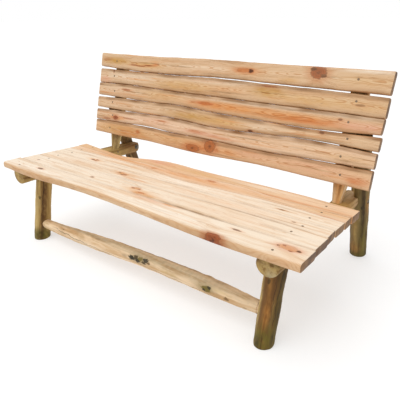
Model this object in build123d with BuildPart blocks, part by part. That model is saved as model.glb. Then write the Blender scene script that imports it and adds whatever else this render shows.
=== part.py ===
from build123d import *
import os
from math import cos, radians, sin, tan

# A bench of treated pine poles. Six sawn slabs lie on two bearers, six more are nailed to two
# leaning posts. The front legs lap the inner side of the bearers and the rear legs the outer side,
# and the rear legs run on up to lap the posts behind the boards.
# +X is to the sitter's left (right in a front view), +Y is to the back, +Z is up, in millimetres.

# Seat
bench_length = 1800
seat_depth = 558
seat_height = 440  # top of the seat at its front edge
seat_tilt = 2.3  # degrees that the seat falls towards the back
slab_thickness = 36
bark_round = 0.6  # how far up the slab's edge the round bark side reaches, as a share of its thickness
edge_wear = 2.5  # worn edge of the sawn face
seat_gap = 2  # between two seat slabs

# Backrest
back_length = 1796
back_width = 490  # up the slope, over all six boards
back_tilt = 16.5  # degrees from upright
back_from_front = 631  # front face of the lowest board, from the seat's front edge
back_foot_height = 471

# Bearers
bearer_spacing = 1547  # between the two heart lines
bearer_length = 828
bearer_setback = 20
bearer_diameter = 92
bearer_flat = 21  # flat top, above the heart line

# Legs
front_leg_spacing = 1498
front_foot_from_front = 54
front_lean = 14.7
rear_leg_spacing = 1622
rear_foot_from_front = 909
rear_lean = 15.1
left_front_foot_diameter = 84
left_front_head_diameter = 80
right_front_foot_diameter = 82
right_front_head_diameter = 85
left_rear_foot_diameter = 78
left_rear_head_diameter = 74
right_rear_foot_diameter = 84
right_rear_head_diameter = 84
left_rear_leg_height = 668
right_rear_leg_height = 705
foot_bevel = 5
log_swell = 1  # a log is this much thicker in radius at mid length than its ends would give

# Back posts
post_spacing = 1512
post_diameter = 82
post_tenon_diameter = 44
post_tenon_length = 60  # below the bearer's flat top
post_heart_depth = 53.5  # from the front face of the boards to the post's heart
post_top_drop = 14  # the post ends this far below the top board's upper edge
post_taper_length = 135  # from the full post down to its tenon
post_ease = 4

# Front stretcher
stretcher_left_height = 87  # heart line at the left leg
stretcher_right_height = 131
stretcher_tenon_diameter = 48
stretcher_tenon_past_heart = 15  # the tenon runs this far beyond the leg's heart line
stretcher_diameters = (52, 62, 72, 76, 73, 72, 74, 70, 54)  # left to right, tenon to tenon
stretcher_bow = 14  # how far its middle rises

# Fixings
nail_diameter = 5
nail_head_diameter = 10
nail_head_thickness = 2
nail_length = 88
nail_sink = 0.5
nail_sides = 8  # nails and their holes are drawn eight-sided, to keep the model light
tenon_nail_length = 75
bolt_diameter = 12
bolt_head_diameter = 28
bolt_head_height = 6
washer_diameter = 28
washer_thickness = 2.5
nut_across_flats = 19
nut_height = 10
bolt_end = 4  # thread showing past the nut
spot_depth = 6  # bolt heads and washers sit this far inside the round of the log
spot_diameter = 31
fit_gap = 0.3  # round fits
nail_gap = 0.15
cutter_reach = 400  # the cutters of laps and spot faces run this far, past every log

# How the waney joints wander. Each row runs from the left end of the slabs to the right, at the
# shares of the half length given first, and adds to the joint's place as a share of the width.
joint_stations = (-1, -0.67, -0.48, -0.29, 0, 0.33, 0.67, 1)
seat_joints = (  # front edge, five joints, rear edge
    (0.022, (1, -9, 5, 14, 13, -1, -10, -5)),
    (0.208, (-3, -8, -5, -3, -1, 4, 10, 7)),
    (0.401, (-11, -8, -11, -11, -1, 11, 22, 9)),
    (0.557, (-6, -3, 0, 2, 5, 6, 2, -4)),
    (0.720, (6, 13, 13, 7, -20, -11, 3, -9)),
    (0.835, (9, -5, -11, 2, -8, 17, -13, -5)),
    (0.989, (-11, -54, -58, 0, 8, 7, 9, -8)),
)
back_joints = (  # lower edge, five joints, upper edge
    (0.010, (4, 3, 6, 2, -2, 6, 1, -5)),
    (0.178, (-2, 2, 5, -1, 0, -6, -1, 2)),
    (0.331, (-6, -1, 2, 4, -7, -2, 9, 0)),
    (0.471, (1, 4, 3, 8, -2, -8, -11, -1)),
    (0.634, (2, 6, 2, -1, -2, -5, -6, -10)),
    (0.816, (5, -2, -3, -3, 2, -2, -5, -10)),
    (0.998, (1, -1, -2, 0, 2, -1, -1, -1)),
)
back_gaps = (  # open width of the five joints between the boards
    (4, 5, 8, 5, 3, 3, 3, 3),
    (13, 4, 3, 3, 3, 3, 5, 7),
    (13, 5, 5, 5, 5, 5, 5, 10),
    (6, 6, 5, 5, 5, 5, 5, 3),
    (14, 4, 3, 4, 5, 6, 6, 10),
)
seat_end_trims = ((0, 0), (18, 4), (24, 8), (28, 6), (33, 4), (28, 0))  # left and right, front to back
back_end_trims = ((3, 2), (0, 2), (1, 0), (3, 4), (6, 2), (4, 3))  # left and right, bottom to top
seat_nail_shares = (0.07, 0.36, 0.48, 0.63, 0.77, 0.90)  # of the seat's depth
back_nail_shares = (0.09, 0.25, 0.41, 0.55, 0.73, 0.91)  # of the back's width
nail_stagger = (6, -9, 4, -7, 8, -3)  # nails along a bearer or a post stand off its heart line

# Poles of the left and right side: foot and head diameters, heights
front_leg_diameters = {
    -1: (left_front_foot_diameter, left_front_head_diameter),
    1: (right_front_foot_diameter, right_front_head_diameter),
}
rear_leg_diameters = {
    -1: (left_rear_foot_diameter, left_rear_head_diameter),
    1: (right_rear_foot_diameter, right_rear_head_diameter),
}
rear_leg_heights = {-1: left_rear_leg_height, 1: right_rear_leg_height}
stretcher_heights = {-1: stretcher_left_height, 1: stretcher_right_height}

# Frame: the origin is on the floor, midway between the front edge of the seat and the back of the feet
rear_foot_radius = rear_leg_diameters[1][0] / 2
foot_reach = rear_foot_radius / cos(radians(rear_lean)) - foot_bevel * tan(radians(rear_lean))
front_y = -(rear_foot_from_front + foot_reach) / 2
seat_slope = radians(seat_tilt)
back_slope = radians(back_tilt)
seat_plane = Plane(
    origin=(0, front_y, seat_height), x_dir=(1, 0, 0), z_dir=(0, sin(seat_slope), cos(seat_slope))
)
back_plane = Plane(
    origin=(0, front_y + back_from_front, back_foot_height),
    x_dir=(1, 0, 0),
    z_dir=(0, -cos(back_slope), sin(back_slope)),
)
seat_underside = seat_plane.offset(-slab_thickness)
back_rear = back_plane.offset(-slab_thickness)
floor = Plane.XY
sides = {-1: "left", 1: "right"}
os.makedirs("parts", exist_ok=True)

# Heart lines, as a point and a direction in the YZ plane
bearer_x = bearer_spacing / 2
front_leg_x = front_leg_spacing / 2
rear_leg_x = rear_leg_spacing / 2
post_x = post_spacing / 2
bearer_heart_depth = slab_thickness + bearer_flat
bearer_start = seat_plane.from_local_coords((0, bearer_setback, -bearer_heart_depth))
post_start = back_plane.from_local_coords((0, 0, -post_heart_depth))
front_foot = Vector(0, front_y + front_foot_from_front, 0)
rear_foot = Vector(0, front_y + rear_foot_from_front, 0)
front_leg_dir = Vector(0, sin(radians(front_lean)), cos(radians(front_lean)))
rear_leg_dir = Vector(0, -sin(radians(rear_lean)), cos(radians(rear_lean)))


def crossing(point_a, dir_a, point_b, dir_b):
    """Where two heart lines cross in a side view."""
    across = dir_a.Y * dir_b.Z - dir_a.Z * dir_b.Y
    gap = point_b - point_a
    along = (gap.Y * dir_b.Z - gap.Z * dir_b.Y) / across
    return point_a + dir_a * along


front_joint = crossing(front_foot, front_leg_dir, bearer_start, seat_plane.y_dir)
rear_joint = crossing(rear_foot, rear_leg_dir, bearer_start, seat_plane.y_dir)
brace_joint = crossing(rear_foot, rear_leg_dir, post_start, back_plane.y_dir)
post_joint = crossing(post_start, back_plane.y_dir, bearer_start, seat_plane.y_dir)

# Flat faces where two logs lap, midway through the wood that they share
front_lap_x = (bearer_x - bearer_diameter / 2 + front_leg_x + front_leg_diameters[1][1] / 2) / 2
rear_lap_x = (bearer_x + bearer_diameter / 2 + rear_leg_x - rear_leg_diameters[1][0] / 2) / 2
brace_lap_x = (post_x + post_diameter / 2 + rear_leg_x - rear_leg_diameters[1][1] / 2) / 2


def save(part, name):
    """Labels a finished piece and writes its STEP file."""
    part.label = name
    export_step(part, f"parts/{name}.step")


def log_profile(length, radius_start, radius_end, ease_start, ease_end):
    """Half outline of a round log along local X, with eased ends and a slightly swollen middle."""
    with BuildLine() as outline:
        Polyline(
            (0, 0),
            (0, radius_start - ease_start),
            (ease_start, radius_start),
            (length / 2, (radius_start + radius_end) / 2 + log_swell),
            (length - ease_end, radius_end),
            (length - ease_end * 0.3, radius_end - ease_end * 0.35),
            (length, radius_end - ease_end),
            (length, 0),
            close=True,
        )
    return outline


def lap_outline(x, point, direction, diameter):
    """A long strip in the YZ plane at x, as wide as the log that is let in there."""
    width = diameter + 2 * log_swell + 2 * fit_gap
    angle = -Vector(0, 0, 1).get_signed_angle(direction, Vector(-1, 0, 0))
    with BuildSketch(Plane.YZ.offset(x)) as strip:
        with Locations((point.Y, point.Z)):
            Rectangle(width, cutter_reach, rotation=angle)
    return strip


def nail_plane(plane, x, y):
    """The plane itself, moved so that its origin is where the nail goes in."""
    return Plane(origin=plane.from_local_coords((x, y, 0)), x_dir=plane.x_dir, z_dir=plane.z_dir)


def nail_hole(plane, diameter, length):
    """Cuts the hole of a nail's shank or head, straight down from a plane's origin."""
    with BuildSketch(plane) as hole:
        RegularPolygon(diameter / 2 + nail_gap, nail_sides)
    extrude(hole.sketch, amount=-length, mode=Mode.SUBTRACT)


# Slabs. Each is sawn flat on its face and its back from one pole, and keeps the pole's round bark
# sides, which wander along its length.
def waney_edge(joint, width, half, side_gaps):
    """The points that a joint passes from end to end, set aside by half of its open gap."""
    share, wander = joint
    return [
        (station * half, share * width + wander[i] + side_gaps[i] / 2)
        for i, station in enumerate(joint_stations)
    ]


def flowing(points):
    """A smooth line through the points, which leaves each end towards the point next to it."""
    headings = [(after[0] - before[0], after[1] - before[1]) for before, after in (points[:2], points[-2:])]
    Spline(*points, tangents=headings)


def sawn_slab(name, plane, width, lower, upper, lower_gaps, upper_gaps, trims, length, nails):
    low_edge = waney_edge(lower, width, length / 2, lower_gaps)
    high_edge = waney_edge(upper, width, length / 2, [-gap for gap in upper_gaps])
    narrowest = min(high[1] - low[1] for low, high in zip(low_edge, high_edge))
    with BuildPart(plane) as slab:
        with BuildSketch(plane):
            with BuildLine():
                flowing(low_edge)
                flowing(high_edge)
                Line(low_edge[0], high_edge[0])
                Line(low_edge[-1], high_edge[-1])
            make_face()
            with Locations(((trims[0] - trims[1]) / 2, width / 2)):
                Rectangle(length - sum(trims), 2 * width, mode=Mode.INTERSECT)
        extrude(amount=-slab_thickness)
        long_edges = slab.edges().filter_by(lambda edge: edge.length > length / 2)
        underside_edges, *_, face_edges = long_edges.group_by(Axis(plane.origin, plane.z_dir))
        fillet(underside_edges, radius=min(bark_round * slab_thickness, narrowest * 0.4))
        chamfer(face_edges, length=edge_wear)
        for x, y in nails:
            nail_hole(nail_plane(plane, x, y), nail_diameter, slab_thickness)
            nail_hole(nail_plane(plane, x, y), nail_head_diameter, nail_head_thickness + nail_sink)
    save(slab.part, name)


seat_nail_spots = [
    [(side * (bearer_x + nail_stagger[k]), seat_nail_shares[k] * seat_depth) for side in sides]
    for k in range(6)
]
back_nail_spots = [
    [(side * (post_x + nail_stagger[k]), back_nail_shares[k] * back_width) for side in sides]
    for k in range(6)
]
closed = (0,) * len(joint_stations)
snug = (seat_gap,) * len(joint_stations)
for k in range(6):
    sawn_slab(
        f"seat_slat_{k + 1}", seat_plane, seat_depth, seat_joints[k], seat_joints[k + 1],
        snug if k > 0 else closed, snug if k < 5 else closed,
        seat_end_trims[k], bench_length, seat_nail_spots[k],
    )
    sawn_slab(
        f"back_board_{6 - k}", back_plane, back_width, back_joints[k], back_joints[k + 1],
        back_gaps[k - 1] if k > 0 else closed, back_gaps[k] if k < 5 else closed,
        back_end_trims[k], back_length, back_nail_spots[k],
    )

# Bolts run along X through each lapped joint, with the head on the outer side of the bench
bearer_radius = bearer_diameter / 2
post_radius = post_diameter / 2
bolted = {
    "front_leg_bolts": {
        side: (
            front_joint,
            front_leg_x - front_leg_diameters[side][1] / 2 + spot_depth,
            bearer_x + bearer_radius - spot_depth,
        )
        for side in sides
    },
    "rear_leg_bolts": {
        side: (
            rear_joint,
            bearer_x - bearer_radius + spot_depth,
            rear_leg_x + rear_leg_diameters[side][0] / 2 - spot_depth,
        )
        for side in sides
    },
    "back_post_bolts": {
        side: (
            brace_joint,
            post_x - post_radius + spot_depth,
            rear_leg_x + rear_leg_diameters[side][1] / 2 - spot_depth,
        )
        for side in sides
    },
}


def bolt_hole(side, point, inner, outer):
    """Cuts a bolt's hole and the two spot faces that its head and washer sit on."""
    with BuildSketch(Plane.YZ) as hole:
        with Locations((point.Y, point.Z)):
            Circle(bolt_diameter / 2 + fit_gap)
    extrude(hole.sketch, amount=side * (outer + spot_depth), mode=Mode.SUBTRACT)
    for face_x, away in ((inner, -side), (outer, side)):
        with BuildSketch(Plane.YZ.offset(side * face_x)) as spot:
            with Locations((point.Y, point.Z)):
                Circle(spot_diameter / 2)
        extrude(spot.sketch, amount=away * cutter_reach, mode=Mode.SUBTRACT)


def post_nail_plane(side):
    """Driven outwards through the bearer's inner side into the post's tenon."""
    return Plane(
        origin=(side * (bearer_x - bearer_radius - log_swell), post_joint.Y, post_joint.Z),
        x_dir=(0, 1, 0),
        z_dir=(-side, 0, 0),
    )


def stretcher_heart(side):
    """Where the stretcher's heart line meets the leg's."""
    return front_foot + front_leg_dir * (stretcher_heights[side] / front_leg_dir.Z)


def stretcher_nail_plane(side):
    """Driven forwards through the back of the front leg into the stretcher's tenon."""
    outwards = Vector(0, front_leg_dir.Z, -front_leg_dir.Y)
    origin = stretcher_heart(side) + outwards * (max(front_leg_diameters[side]) / 2 + log_swell)
    return Plane(origin=origin + Vector(side * front_leg_x, 0, 0), x_dir=(1, 0, 0), z_dir=outwards)


for side, hand in sides.items():
    bearer_plane = Plane(
        origin=bearer_start + Vector(side * bearer_x, 0, 0), x_dir=seat_plane.y_dir, z_dir=(1, 0, 0)
    )
    post_foot = crossing(post_start, back_plane.y_dir, seat_underside.origin, seat_plane.y_dir)
    post_foot = post_foot - back_plane.y_dir * post_tenon_length

    # Bearer: a log with a flat top, an eased front end and a rounder rear end. The legs are let into
    # its two sides and the post's tenon into its top.
    with BuildPart() as bearer:
        with BuildSketch(bearer_plane):
            with BuildLine():
                add(log_profile(bearer_length, bearer_radius, bearer_radius - 1, 5, 20).line)
            make_face()
        revolve(axis=Axis(bearer_plane.origin, bearer_plane.x_dir))
        split(bisect_by=seat_underside, keep=Keep.BOTTOM)
        front_strip = lap_outline(
            side * front_lap_x, front_joint, front_leg_dir, max(front_leg_diameters[side])
        )
        extrude(front_strip.sketch, amount=-side * cutter_reach, mode=Mode.SUBTRACT)
        rear_strip = lap_outline(
            side * rear_lap_x, rear_joint, rear_leg_dir, max(rear_leg_diameters[side])
        )
        extrude(rear_strip.sketch, amount=side * cutter_reach, mode=Mode.SUBTRACT)
        mortise = Plane(
            origin=post_foot + Vector(side * post_x, 0, 0), x_dir=(1, 0, 0), z_dir=back_plane.y_dir
        )
        with BuildSketch(mortise):
            Circle(post_tenon_diameter / 2 + fit_gap)
        extrude(amount=post_tenon_length * 2, mode=Mode.SUBTRACT)
        bolt_hole(side, *bolted["front_leg_bolts"][side])
        bolt_hole(side, *bolted["rear_leg_bolts"][side])
        for k in range(6):
            x, y = seat_nail_spots[k][0 if side < 0 else 1]
            nail_hole(nail_plane(seat_plane, x, y), nail_diameter, nail_sink + nail_length + 1)
        nail_hole(post_nail_plane(side), nail_diameter, tenon_nail_length + 1)
    save(bearer.part, f"{hand}_bearer")

    # Front leg: its head laps the bearer's inner side and stops under the slabs
    foot_radius, head_radius = (d / 2 for d in front_leg_diameters[side])
    buried = foot_radius * tan(radians(front_lean)) + 5
    front_leg_length = (seat_height + 2 * head_radius) / front_leg_dir.Z
    leg_plane = Plane(
        origin=front_foot - front_leg_dir * buried + Vector(side * front_leg_x, 0, 0),
        x_dir=front_leg_dir,
        z_dir=(1, 0, 0),
    )
    with BuildPart() as front_leg:
        with BuildSketch(leg_plane):
            with BuildLine():
                add(log_profile(front_leg_length, foot_radius, head_radius, 1, 1).line)
            make_face()
        revolve(axis=Axis(leg_plane.origin, leg_plane.x_dir))
        split(bisect_by=floor, keep=Keep.TOP)
        split(bisect_by=seat_underside, keep=Keep.BOTTOM)
        chamfer(front_leg.edges().group_by(Axis.Z)[0], length=foot_bevel)
        bearer_strip = lap_outline(side * front_lap_x, front_joint, seat_plane.y_dir, bearer_diameter)
        extrude(bearer_strip.sketch, amount=side * cutter_reach, mode=Mode.SUBTRACT)
        heart = stretcher_heart(side)
        with BuildSketch(Plane.YZ):
            with Locations((heart.Y, heart.Z)):
                Circle(stretcher_tenon_diameter / 2 + fit_gap)
        extrude(
            amount=side * (front_leg_x + stretcher_tenon_past_heart + fit_gap), mode=Mode.SUBTRACT
        )
        bolt_hole(side, *bolted["front_leg_bolts"][side])
        nail_hole(stretcher_nail_plane(side), nail_diameter, tenon_nail_length + 1)
    save(front_leg.part, f"{hand}_front_leg")

    # Rear leg: laps the bearer's outer side, then the post, and is sawn off along the back of the boards
    foot_radius, head_radius = (d / 2 for d in rear_leg_diameters[side])
    buried = foot_radius * tan(radians(rear_lean)) + 5
    rear_leg_length = rear_leg_heights[side] / rear_leg_dir.Z + buried
    leg_plane = Plane(
        origin=rear_foot - rear_leg_dir * buried + Vector(side * rear_leg_x, 0, 0),
        x_dir=rear_leg_dir,
        z_dir=(1, 0, 0),
    )
    with BuildPart() as rear_leg:
        with BuildSketch(leg_plane):
            with BuildLine():
                add(log_profile(rear_leg_length, foot_radius, head_radius, 1, 8).line)
            make_face()
        revolve(axis=Axis(leg_plane.origin, leg_plane.x_dir))
        split(bisect_by=floor, keep=Keep.TOP)
        split(bisect_by=back_rear, keep=Keep.BOTTOM)
        chamfer(rear_leg.edges().group_by(Axis.Z)[0], length=foot_bevel)
        bearer_strip = lap_outline(side * rear_lap_x, rear_joint, seat_plane.y_dir, bearer_diameter)
        extrude(bearer_strip.sketch, amount=-side * cutter_reach, mode=Mode.SUBTRACT)
        post_strip = lap_outline(side * brace_lap_x, brace_joint, back_plane.y_dir, post_diameter)
        extrude(post_strip.sketch, amount=-side * cutter_reach, mode=Mode.SUBTRACT)
        bolt_hole(side, *bolted["rear_leg_bolts"][side])
        bolt_hole(side, *bolted["back_post_bolts"][side])
    save(rear_leg.part, f"{hand}_rear_leg")

    # Back post: planed flat where the boards bear, whittled to a tenon at its foot
    post_length = back_width - post_top_drop - (post_foot - post_start).dot(back_plane.y_dir)
    tenon_radius = post_tenon_diameter / 2
    shoulder = post_tenon_length + 4
    post_plane = Plane(
        origin=post_foot + Vector(side * post_x, 0, 0), x_dir=back_plane.y_dir, z_dir=(1, 0, 0)
    )
    with BuildPart() as post:
        with BuildSketch(post_plane):
            with BuildLine():
                Polyline(
                    (0, 0),
                    (0, tenon_radius),
                    (shoulder, tenon_radius),
                    (shoulder + post_taper_length * 0.45, tenon_radius + (post_radius - tenon_radius) * 0.6),
                    (shoulder + post_taper_length, post_radius),
                    (post_length - post_ease, post_radius),
                    (post_length, post_radius - post_ease),
                    (post_length, 0),
                    close=True,
                )
            make_face()
        revolve(axis=Axis(post_plane.origin, post_plane.x_dir))
        split(bisect_by=back_rear, keep=Keep.BOTTOM)
        leg_strip = lap_outline(
            side * brace_lap_x, brace_joint, rear_leg_dir, max(rear_leg_diameters[side])
        )
        extrude(leg_strip.sketch, amount=side * cutter_reach, mode=Mode.SUBTRACT)
        bolt_hole(side, *bolted["back_post_bolts"][side])
        for k in range(6):
            x, y = back_nail_spots[k][0 if side < 0 else 1]
            nail_hole(nail_plane(back_plane, x, y), nail_diameter, nail_sink + nail_length + 1)
        nail_hole(post_nail_plane(side), nail_diameter, tenon_nail_length + 1)
    save(post.part, f"{hand}_back_post")

# Front stretcher: a slightly bowed pole between two whittled tenons
left_heart = stretcher_heart(-1)
right_heart = stretcher_heart(1)
stretcher_half = front_leg_x - max(front_leg_diameters[1]) / 2 - log_swell - fit_gap
stations = len(stretcher_diameters)
with BuildPart() as front_stretcher:
    for i, diameter in enumerate(stretcher_diameters):
        share = i / (stations - 1)
        eased = share * share * (3 - 2 * share)
        point = left_heart * (1 - eased) + right_heart * eased
        rise = stretcher_bow * 16 * (share * (1 - share)) ** 2
        centre = (stretcher_half * (2 * share - 1), point.Y, point.Z + rise)
        with BuildSketch(Plane(origin=centre, x_dir=(0, 1, 0), z_dir=(1, 0, 0))):
            Circle(diameter / 2)
    loft(ruled=True)
    for side in sides:
        heart = stretcher_heart(side)
        with BuildSketch(Plane.YZ.offset(side * (stretcher_half - 5))):
            with Locations((heart.Y, heart.Z)):
                Circle(stretcher_tenon_diameter / 2)
        extrude(amount=side * (front_leg_x + stretcher_tenon_past_heart - stretcher_half + 5))
    for side in sides:
        nail_hole(stretcher_nail_plane(side), nail_diameter, tenon_nail_length + 1)
save(front_stretcher.part, "front_stretcher")


# Nails and bolts, each kind a group of separate solids
def nail(plane, length, sink):
    with BuildSketch(plane.offset(-sink)) as head:
        RegularPolygon(nail_head_diameter / 2, nail_sides)
    extrude(head.sketch, amount=-nail_head_thickness)
    with BuildSketch(plane.offset(-sink)) as shank:
        RegularPolygon(nail_diameter / 2, nail_sides)
    extrude(shank.sketch, amount=-length)


with BuildPart() as seat_nails:
    for spots in seat_nail_spots:
        for x, y in spots:
            nail(nail_plane(seat_plane, x, y), nail_length, nail_sink)
save(seat_nails.part, "seat_nails")

with BuildPart() as back_nails:
    for spots in back_nail_spots:
        for x, y in spots:
            nail(nail_plane(back_plane, x, y), nail_length, nail_sink)
save(back_nails.part, "back_nails")

with BuildPart() as tenon_nails:
    for side in sides:
        for plane in (post_nail_plane(side), stretcher_nail_plane(side)):
            nail(plane, tenon_nail_length, -nail_head_thickness)
save(tenon_nails.part, "tenon_nails")

head_radius = bolt_head_diameter / 2
dome_radius = (head_radius**2 + bolt_head_height**2) / (2 * bolt_head_height)
for name, pair in bolted.items():
    with BuildPart() as bolts:
        for side, (point, inner, outer) in pair.items():
            tip = inner - washer_thickness - nut_height - bolt_end
            bolt_plane = Plane(
                origin=(side * tip, point.Y, point.Z), x_dir=(side, 0, 0), z_dir=(0, side, 0)
            )
            shank = outer - tip
            with BuildSketch(bolt_plane):
                with BuildLine():
                    Line((0, 0), (0, bolt_diameter / 2))
                    Line((0, bolt_diameter / 2), (shank, bolt_diameter / 2))
                    Line((shank, bolt_diameter / 2), (shank, head_radius))
                    RadiusArc((shank, head_radius), (shank + bolt_head_height, 0), dome_radius)
                    Line((shank + bolt_head_height, 0), (0, 0))
                make_face()
            revolve(axis=Axis(bolt_plane.origin, bolt_plane.x_dir))
    save(bolts.part, name)

with BuildPart() as bolt_washers:
    for pair in bolted.values():
        for side, (point, inner, outer) in pair.items():
            with BuildSketch(Plane.YZ.offset(side * inner)):
                with Locations((point.Y, point.Z)):
                    Circle(washer_diameter / 2)
                    Circle(bolt_diameter / 2 + fit_gap, mode=Mode.SUBTRACT)
            extrude(amount=-side * washer_thickness)
save(bolt_washers.part, "bolt_washers")

with BuildPart() as bolt_nuts:
    for pair in bolted.values():
        for side, (point, inner, outer) in pair.items():
            with BuildSketch(Plane.YZ.offset(side * (inner - washer_thickness))):
                with Locations((point.Y, point.Z)):
                    RegularPolygon(nut_across_flats / 2, 6, major_radius=False)
                    Circle(bolt_diameter / 2 + nail_gap, mode=Mode.SUBTRACT)
            extrude(amount=-side * nut_height)
save(bolt_nuts.part, "bolt_nuts")
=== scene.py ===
import math

import bmesh
import bpy
import numpy as np
from mathutils import Matrix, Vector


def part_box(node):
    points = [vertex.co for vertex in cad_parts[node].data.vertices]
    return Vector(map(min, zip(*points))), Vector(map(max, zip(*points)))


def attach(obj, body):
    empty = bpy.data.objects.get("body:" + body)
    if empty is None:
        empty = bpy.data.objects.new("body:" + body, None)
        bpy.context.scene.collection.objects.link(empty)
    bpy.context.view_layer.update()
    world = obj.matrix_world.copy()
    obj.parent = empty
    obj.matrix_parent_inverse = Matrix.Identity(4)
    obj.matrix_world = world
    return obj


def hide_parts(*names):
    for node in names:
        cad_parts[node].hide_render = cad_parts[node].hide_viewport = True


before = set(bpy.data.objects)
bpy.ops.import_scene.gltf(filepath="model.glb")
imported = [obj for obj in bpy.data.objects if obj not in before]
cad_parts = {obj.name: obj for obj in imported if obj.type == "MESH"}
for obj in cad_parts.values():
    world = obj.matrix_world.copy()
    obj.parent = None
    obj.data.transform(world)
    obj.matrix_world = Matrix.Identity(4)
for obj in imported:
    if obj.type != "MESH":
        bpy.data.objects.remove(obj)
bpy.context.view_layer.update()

# ---------------------------------------------------------------------------------------------------
# Seat slabs. Six slabs sawn from peeled pine poles lie side by side across the bearers. Both faces
# are planed flat, the long edges keep the round of the pole, and the ends are sawn and eased. A nail
# driven a little below the face holds each slab at both ends.
# ---------------------------------------------------------------------------------------------------
SLAB_THICKNESS = 0.036
SEAT_HEIGHT = 0.440
SEAT_FALL = math.radians(2.3)
SEAT_GAP = 0.0009
BARK_ROUND = 0.012
END_EASE = 0.0016
END_SKEW = 0.03
EDGE_RIPPLE = 0.0009
SIDE_RIPPLE = 0.0004
FACE_RIPPLE = 0.00022
NAIL_DENT_RADIUS = 0.0085
NAIL_DENT_FLOOR = 0.0056
NAIL_DENT_DEPTH = 0.0011
SAWN_POLE_RADIUS = 0.055
PITH_DEPTH = 0.013
RING_SPACING = 0.0048
NO_KNOT = 9.0

# Grid lines of a slab's skin: their steps along and across it, and the finer stretch at each nail
SLAB_STEP = 0.0065
SLAB_STEP_ACROSS = 0.0042
NAIL_ZONE = 0.0115

seat_front = -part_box("right_rear_leg")[1].y
seat_face = (
    np.array([0, seat_front, SEAT_HEIGHT]),
    np.array([0, math.cos(SEAT_FALL), -math.sin(SEAT_FALL)]),
    np.array([0, math.sin(SEAT_FALL), math.cos(SEAT_FALL)]),
)

# Where the waney joints run, in millimetres from the front of the seat, at these places along it
JOINT_STATIONS = np.array([-900, -603, -432, -261, 0, 297, 603, 900]) / 1000
seat_joints = np.array([
    [13, 3, 17, 26, 25, 11, 2, 7],
    [113, 108, 111, 113, 115, 120, 126, 123],
    [213, 216, 213, 213, 223, 235, 246, 233],
    [305, 308, 311, 313, 316, 317, 313, 307],
    [408, 415, 415, 409, 382, 391, 405, 393],
    [475, 461, 455, 468, 458, 483, 453, 461],
    [541, 498, 494, 552, 560, 559, 561, 544],
]) / 1000
seat_ends = np.array([
    [-900, 900], [-882, 896], [-876, 892], [-872, 894], [-867, 896], [-872, 900]
]) / 1000
nail_stagger = np.array([6, -9, 4, -7, 8, -3]) / 1000
seat_nail_lines = np.array([39, 201, 268, 352, 430, 502]) / 1000
seat_nail_columns = 0.7735 + nail_stagger


def srgb(red, green, blue):
    """A colour given on the usual 0 to 255 scale, as linear light."""
    value = np.array([red, green, blue]) / 255
    return np.where(value <= 0.04045, value / 12.92, ((value + 0.055) / 1.055) ** 2.4)


TINTS = {
    "cream": srgb(241, 227, 207),
    "ivory": srgb(247, 236, 220),
    "blush": srgb(236, 209, 180),
    "peach": srgb(231, 196, 158),
    "sand": srgb(222, 192, 156),
    "tan": srgb(206, 172, 130),
    "honey": srgb(214, 170, 108),
    "mustard": srgb(200, 156, 84),
    "amber": srgb(222, 158, 96),
    "orange": srgb(205, 120, 58),
    "rust": srgb(160, 84, 40),
    "rose": srgb(224, 174, 144),
    "copper": srgb(188, 110, 56),
    "umber": srgb(96, 54, 26),
    "soot": srgb(52, 34, 20),
    "grey": srgb(178, 158, 132),
    # The dust tint also serves as painted shade along the slab joints.
    "dust_and_shade": srgb(146, 108, 68),
}


def flowing(along, stations, values):
    """A cubic spline through the stations, which leaves each end towards the station next to it."""
    span = np.diff(stations)
    climb = np.diff(values) / span
    bends = np.diag(2 * np.concatenate([[1], 1 / span[:-1] + 1 / span[1:], [1]]))
    pull = np.zeros(len(values))
    for k in range(1, len(values) - 1):
        bends[k, k - 1], bends[k, k + 1] = 1 / span[k - 1], 1 / span[k]
        pull[k] = 3 * (climb[k - 1] / span[k - 1] + climb[k] / span[k])
    pull[[0, -1]] = 2 * climb[[0, -1]]
    slopes = np.linalg.solve(bends, pull)
    left = np.clip(np.searchsorted(stations, along) - 1, 0, len(stations) - 2)
    share = (along - stations[left]) / span[left]
    rest = 1 - share
    return (
        (1 + 2 * share) * rest**2 * values[left]
        + share * rest**2 * span[left] * slopes[left]
        + share**2 * (3 - 2 * share) * values[left + 1]
        - share**2 * rest * span[left] * slopes[left + 1]
    )


def ripple(along, across, seed, longest, widest, octaves=5):
    """Smooth noise from -1 to 1: four plane waves in seeded directions, then sets of four more, each
    1.9 times shorter and 1.6 times weaker than the last."""
    shorter, weaker = 1.9, 1.6
    draw = np.random.default_rng(seed)
    total, weight = 0, 0
    for octave in range(octaves):
        for _ in range(4):
            turn = draw.uniform(0.15, 1) * draw.choice([-1, 1])
            phase = draw.uniform(0, 2 * np.pi)
            wave = along / longest + turn * across / widest
            total = total + np.sin(2 * np.pi * wave * shorter**octave + phase) / weaker**octave
            weight += 0.55 / weaker**octave
    return np.clip(total / weight, -1, 1)


def falloff(distance, inner, outer):
    """1 inside the inner distance, 0 outside the outer one, and a smooth step between."""
    share = np.clip((outer - distance) / (outer - inner), 0, 1)
    return share * share * (3 - 2 * share)


def close_lines(start, end, step, places, reach):
    """Grid lines at an even step, with finer ones in their stead within reach of the given places."""
    lines = np.linspace(start, end, max(int(round((end - start) / step)), 1) + 1)
    fine = np.linspace(-reach, reach, 17)
    for place in places:
        lines = lines[np.abs(lines - place) > reach * 1.06]
        lines = np.concatenate([lines, place + fine])
    return np.unique(np.round(lines[(lines >= start) & (lines <= end)], 6))


def new_mesh(name, points, faces):
    """A mesh from an array of points and a list of faces."""
    mesh = bpy.data.meshes.new(name)
    mesh.from_pydata(points.tolist(), [], faces)
    return mesh


def add_object(name, data):
    """Puts a mesh, a light or a camera into the scene as an object at the origin."""
    thing = bpy.data.objects.new(name, data)
    bpy.context.scene.collection.objects.link(thing)
    return thing


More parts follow.
